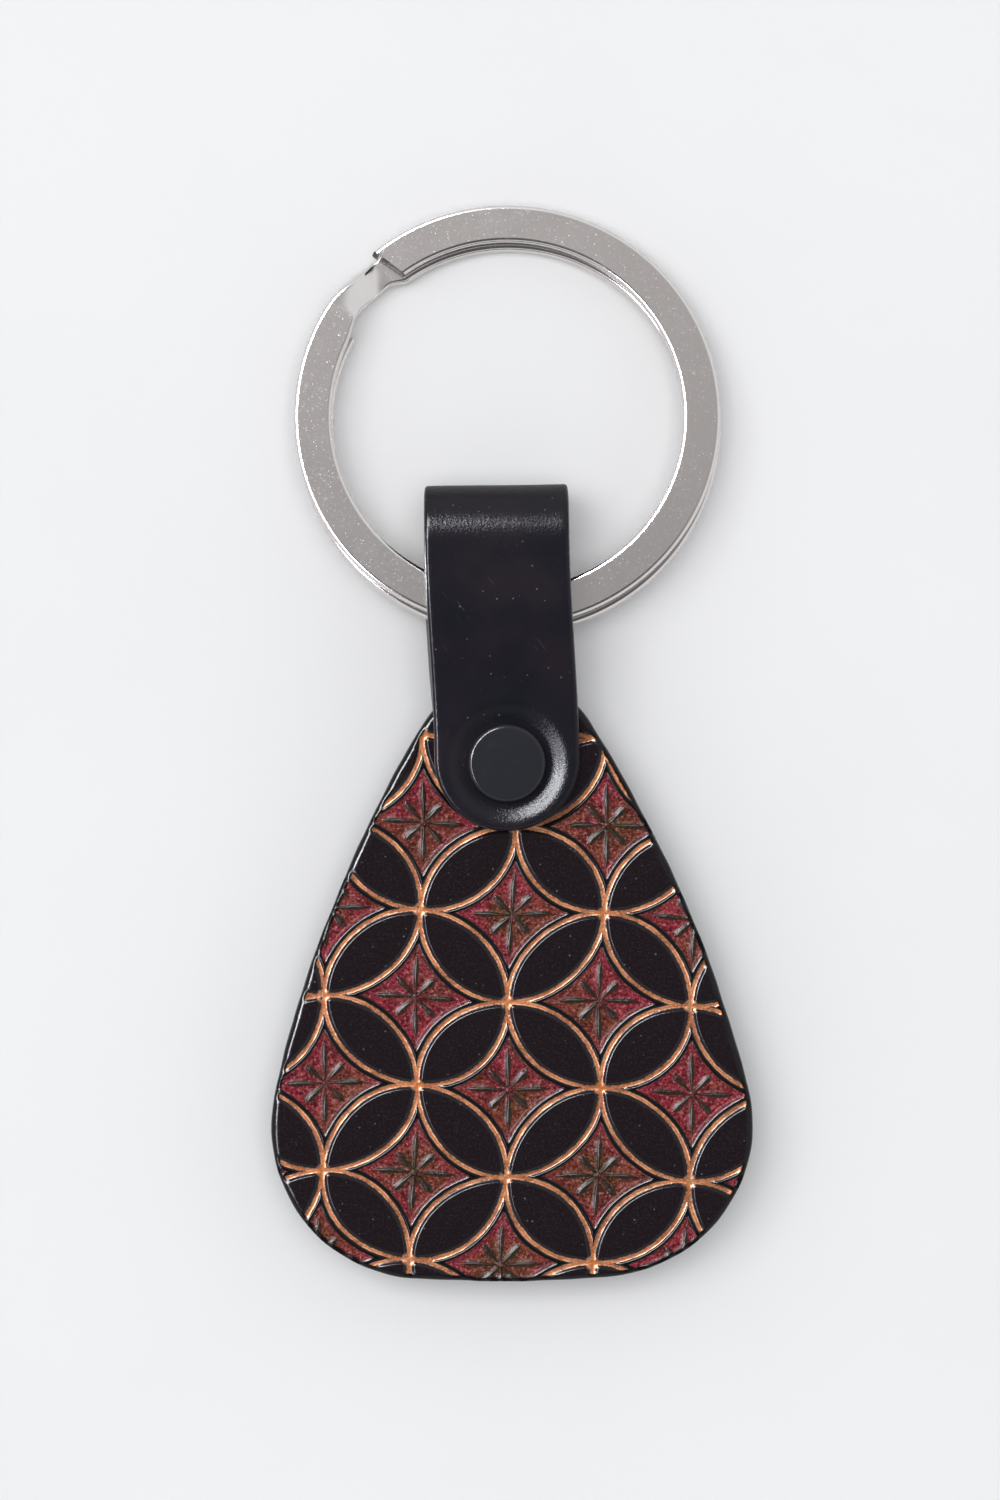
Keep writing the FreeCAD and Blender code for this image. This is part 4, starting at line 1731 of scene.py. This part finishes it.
@dataclass
class SplitRing:
    """One flat wire wound almost twice, swept along its path by geometry nodes."""

    outer_radius: float = 16.0
    wire_width: float = 2.8
    coil_thick: float = 1.26
    coil_gap: float = 0.06
    hinge_inset: float = 0.55
    edge_round: float = 0.3
    bevel: float = 0.28
    start_angle: float = 126.5
    step_angle: float = 147.5
    step_end_angle: float = 128.5
    end_angle: float = 150.5
    cad_shift: float = 0.2
    lower_shift: tuple[float, float] = (0.1, -0.38)
    off_centre: float = 0.4
    twist: float = 24.0
    pinch: tuple[float, float, float, float] = (155.0, 142.0, 130.0, 124.0)
    pinch_share: float = 0.35
    pinch_bulge: float = 0.12
    cut_slant: float = 0.28
    cut_lean: float = 0.3
    cut_reach: float = 2.4
    cut_inner_share: float = 0.35
    stations: int = 720

    @property
    def wire_radius(self) -> float:
        """Distance of the wire's middle line from the ring's centre."""
        return self.outer_radius - self.wire_width / 2

    @property
    def total_turn(self) -> float:
        """Degrees that the wire goes round from one end to the other."""
        return self.start_angle + 720 - self.end_angle

    def _tilt(self, hinge_z: float) -> float:
        """Angle by which the ring leans until its far side lies on the ground.

        Args:
            hinge_z: height of the hinge axis.

        Returns:
            The angle in radians.
        """
        to_centre = self.wire_radius - self.hinge_inset
        reach = to_centre + self.outer_radius - self.edge_round - self.cad_shift
        corner = self.coil_thick + self.coil_gap / 2 - self.edge_round
        lean = math.asin((hinge_z - self.edge_round) / math.hypot(reach, corner))
        return lean - math.atan2(corner, reach)

    def _section(self) -> bpy.types.Object:
        """The wire's cross section, a closed line with bevelled corners.

        Returns:
            An object with the line as its mesh.
        """
        half_width, half_thick = self.wire_width / 2, self.coil_thick / 2
        points = []
        for quarter in range(4):
            side_x, side_y = ((1, 1), (-1, 1), (-1, -1), (1, -1))[quarter]
            centre = (side_x * (half_width - self.bevel), side_y * (half_thick - self.bevel))
            for share in (-0.12, 0, 0.2, 0.4, 0.6, 0.8, 1, 1.12):
                turn = math.radians(90 * (quarter + min(max(share, 0), 1)))
                slide = self.bevel * (min(share, 0) + max(share - 1, 0)) * math.pi / 2
                points.append((centre[0] + self.bevel * math.cos(turn) - slide * math.sin(turn),
                               centre[1] + self.bevel * math.sin(turn) + slide * math.cos(turn), 0))
        corners = [(k, (k + 1) % len(points)) for k in range(len(points))]
        mesh = bpy.data.meshes.new("split_ring_wire")
        mesh.from_pydata([tuple(c * MM for c in point) for point in points], corners, [])
        piece = bpy.data.objects.new("split_ring_wire", mesh)
        bpy.context.scene.collection.objects.link(piece)
        return piece

    def build(self) -> list[bpy.types.Object]:
        """Winds and dresses the ring.

        Returns:
            The piece, in a list.
        """
        piece = self._section()
        self._wind(piece, Nickel().material())
        self._cut(piece.data)
        hinge = Vector(next(j for j in frame["joints"] if j["name"] == "ring_swing")["pos_m"])
        to_centre = (self.wire_radius - self.hinge_inset) * MM
        tilt = self._tilt(hinge.z / MM)
        piece.data.transform(Matrix.Translation(hinge) @ Matrix.Rotation(-tilt, 4, "X")
                             @ Matrix.Translation((self.off_centre * MM, to_centre, 0)))
        piece.data.polygons.foreach_set("use_smooth", [len(p.vertices) == 4 for p in piece.data.polygons])
        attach(piece, "key_ring")
        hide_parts("split_ring")
        return [piece]

    def _wind(self, piece: bpy.types.Object, finish: bpy.types.Material) -> None:
        """Sweeps the wire's section along its winding.

        Args:
            piece: the section, exchanged for the wire, centred on the ring.
            finish: its material.
        """
        step_start = self.start_angle + 360 - self.step_angle
        step_end = self.start_angle + 360 - self.step_end_angle
        tool = GeometryTool("split_ring_winding", {
            "Wire radius": self.wire_radius,
            "Coil pitch": self.coil_thick + self.coil_gap,
            "Start angle": math.radians(self.start_angle), "Total turn": math.radians(self.total_turn),
            "Step start": math.radians(step_start), "Step end": math.radians(step_end),
            "Step twist": math.radians(self.twist),
            "Shift across": self.lower_shift[0], "Shift along": self.lower_shift[1]})
        section = tool.through("GeometryNodeMeshToCurve", {}).outputs[0]
        index = Wire(tool.tree, tool.node("GeometryNodeInputIndex").outputs[0])
        line = tool.node("GeometryNodeMeshLine")
        line.inputs["Count"].default_value = self.stations
        turned = index / (self.stations - 1) * tool.size("Total turn")
        down = turned.step(tool.size("Step start"), tool.size("Step end"))
        angle = tool.size("Start angle") - turned
        radius = tool.size("Wire radius")
        path = combine(tool.tree,
                       (angle.math("COSINE") * radius + down * tool.size("Shift across")) * MM,
                       (angle.math("SINE") * radius + down * tool.size("Shift along")) * MM,
                       (0.5 - down) * tool.size("Coil pitch") * MM)
        tool.geometry = line.outputs[0]
        tool.through("GeometryNodeSetPosition", {"Position": path})
        tool.through("GeometryNodeMeshToCurve", {})
        tool.through("GeometryNodeSetCurveNormal", {}, mode="Z_UP")
        twist = down * (1.0 - down) * 4.0 * tool.size("Step twist")
        tool.through("GeometryNodeSetCurveTilt", {"Tilt": twist})
        sweep = tool.node("GeometryNodeCurveToMesh")
        sweep.inputs["Fill Caps"].default_value = True
        tool.tree.links.new(tool.geometry, sweep.inputs["Curve"])
        tool.tree.links.new(section, sweep.inputs["Profile Curve"])
        tool.geometry = sweep.outputs[0]
        tool.apply(piece, finish)

    def _cut(self, mesh: bpy.types.Mesh) -> None:
        """Pinches the wire where it steps down, slants its upper end and paints both cut ends near-black as
        painted shade.

        Args:
            mesh: the wound wire, its points in rows of one section each.
        """
        place = np.empty(len(mesh.vertices) * 3)
        mesh.vertices.foreach_get("co", place)
        place = place.reshape(self.stations, -1, 3) / MM
        turned = np.linspace(0, self.total_turn, self.stations)[:, None]
        radius = np.hypot(place[..., 0], place[..., 1])
        angle = np.arctan2(place[..., 1], place[..., 0])
        start, full, end, over = (360 + self.start_angle - angle_at for angle_at in self.pinch)
        closing, opening = eased((turned - start) / (full - start)), eased((turned - end) / (over - end))
        pinch = self.pinch_share * closing * (1 - opening)
        off = radius - self.wire_radius
        radius = radius - pinch * np.minimum(off, 0) - self.pinch_bulge * pinch * np.maximum(off, 0)
        off = radius - self.wire_radius
        near = np.clip(1 - np.radians(turned) * self.wire_radius / self.cut_reach, 0, 1) ** 2
        top = (place[..., 2] - self.coil_gap / 2) / self.coil_thick
        outward = np.clip(off / self.wire_width + 0.5, 0, 1)
        outer = self.cut_inner_share + (1 - self.cut_inner_share) * outward
        angle = angle + near * (self.cut_slant * off + self.cut_lean * outer * (1 - top)) / radius
        place[..., 0], place[..., 1] = radius * np.cos(angle), radius * np.sin(angle)
        mesh.vertices.foreach_set("co", (place * MM).ravel())
        # painted shade: the wire's cut ends get a near-black metal in place of the shade that falls on them
        shaded_ends = Metal("wire_ends_painted_shade", base=(0.02, 0.016, 0.012), metallic=0.6, rough=0.45)
        mesh.materials.append(shaded_ends.material())
        for face in mesh.polygons:
            if len(face.vertices) > 4:
                face.material_index = 1


# ------------------------------------------------------------------------------------ studio

class Shine(Enum):
    """What a light does: it lights matt surfaces, or it shows in reflections."""

    MATT = 0
    GLOSS = 1


@dataclass(frozen=True)
class SoftLight:
    """A rectangular soft light aimed at the holder: angles in degrees, lengths in metres."""

    name: str
    azimuth: float
    elevation: float
    distance: float
    size: tuple[float, float]
    radiance: float
    colour: Colour
    shine: Shine

    def build(self) -> None:
        """Makes the light."""
        lamp = bpy.data.lights.new(self.name, "AREA")
        lamp.shape = "RECTANGLE"
        lamp.size, lamp.size_y = self.size
        lamp.energy = self.radiance * math.pi * self.size[0] * self.size[1]
        lamp.color = self.colour
        holder = bpy.data.objects.new(self.name, lamp)
        flat, rise = math.radians(self.azimuth), math.radians(self.elevation)
        holder.location = Vector((math.cos(rise) * math.cos(flat), math.cos(rise) * math.sin(flat),
                                  math.sin(rise))) * self.distance
        holder.rotation_euler = (-holder.location).to_track_quat("-Z", "Y").to_euler()
        bpy.context.scene.collection.objects.link(holder)
        if self.shine is Shine.MATT:
            holder.visible_glossy = False
        else:
            self._gloss_only(holder)

    @staticmethod
    def _gloss_only(holder: bpy.types.Object) -> None:
        """Lets a light show in reflections alone, without bright patches thrown on the floor.

        Args:
            holder: the light's object.
        """
        holder.visible_diffuse = False
        holder.data.use_nodes = True
        tree = holder.data.node_tree
        rays = tree.nodes.new("ShaderNodeLightPath")
        direct = 1.0 - Wire(tree, rays.outputs["Diffuse Depth"]).math("MINIMUM", 1.0)
        feed(tree.nodes["Emission"].inputs["Strength"], direct)


LIGHTS = (
    SoftLight("high_window", 158.0, 62.0, 0.9, (0.42, 0.42), 3.6, (1.0, 0.995, 0.99), Shine.MATT),
    SoftLight("ceiling", 90.0, 88.0, 1.1, (0.7, 0.7), 3.9, (1.0, 1.0, 1.0), Shine.MATT),
    SoftLight("low_window", 138.0, 51.0, 0.8, (0.7, 0.26), 50.0, (0.95, 0.96, 1.0), Shine.GLOSS),
    SoftLight("side_window", 185.0, 51.0, 0.8, (0.5, 0.26), 18.0, (0.88, 0.88, 1.0), Shine.GLOSS),
)


@dataclass
class Studio:
    """Pale floor, soft lights and the camera straight above."""

    camera_height: float = 0.45
    view_height: float = 0.11244
    centre: tuple[float, float] = (-0.0005, -0.00064)
    view_level: float = 0.0045
    roll: float = -0.8
    floor_size: float = 1.6
    sensor: float = 36.0
    sky: Colour = (0.95, 0.975, 1.0)
    haze: Colour = (0.51, 0.505, 0.505)
    shade: Colour = (0.1, 0.098, 0.11)
    shade_lean: float = 12.0
    shade_angles: tuple[float, float] = (18.0, 28.0)
    haze_angles: tuple[float, float] = (30.0, 52.0)
    sky_on_floor: float = 0.62

    def build(self) -> None:
        """Makes the floor, the lights and the camera."""
        self._floor()
        self._sky()
        for light in LIGHTS:
            light.build()
        self._camera()

    def _floor(self) -> None:
        """The surface that the holder lies on."""
        half = self.floor_size / 2
        mesh = bpy.data.meshes.new("studio_floor")
        mesh.from_pydata([(-half, -half, 0), (half, -half, 0), (half, half, 0), (-half, half, 0)], [],
                         [(0, 1, 2, 3)])
        mesh.materials.append(Plaster().material())
        floor = bpy.data.objects.new("studio_floor", mesh)
        bpy.context.scene.collection.objects.link(floor)

    def _sky(self) -> None:
        """Even light from all round, with a darker ceiling straight above."""
        world = bpy.data.worlds.new("studio_sky")
        world.use_nodes = True
        tree = world.node_tree
        place = tree.nodes.new("ShaderNodeTexCoord")
        _, y, z = split(Wire(tree, place.outputs["Generated"]))
        lean = math.radians(self.shade_lean)
        facing = z * math.cos(lean) - y * math.sin(lean)
        colour: Wire | Colour = self.sky
        for angles, tone in ((self.haze_angles, self.haze), (self.shade_angles, self.shade)):
            inner, outer = (math.cos(math.radians(angle)) for angle in angles)
            colour = mixed(tree, facing.step(outer, inner), colour, tone)
        background = tree.nodes["Background"]
        feed(background.inputs["Color"], colour)
        rays = tree.nodes.new("ShaderNodeLightPath")
        matt = Wire(tree, rays.outputs["Is Diffuse Ray"])
        feed(background.inputs["Strength"], matt.between(1.0, self.sky_on_floor))
        bpy.context.scene.world = world

    def _camera(self) -> None:
        """A long lens straight above the holder."""
        lens = bpy.data.cameras.new("camera")
        lens.sensor_fit = "VERTICAL"
        lens.sensor_height = self.sensor
        lens.lens = self.sensor * (self.camera_height - self.view_level) / self.view_height
        lens.clip_start, lens.clip_end = 0.01, 10.0
        camera = bpy.data.objects.new("camera", lens)
        camera.location = (*self.centre, self.camera_height)
        camera.rotation_euler = (0.0, 0.0, math.radians(self.roll))
        bpy.context.scene.collection.objects.link(camera)
        bpy.context.scene.camera = camera
        bpy.context.scene.view_settings.view_transform = "Standard"


def main() -> None:
    """Builds the studio and every sub-assembly in order, and reports each piece."""
    logging.basicConfig(level=logging.INFO, format="%(name)s: %(message)s")
    Studio().build()
    for assembly in (Body(), Strap(), Rivet(), SplitRing()):
        for piece in assembly.build():
            LOG.info("%s: %s, %d faces", type(assembly).__name__, piece.name, len(piece.data.polygons))


if __name__ == "__main__":
    main()
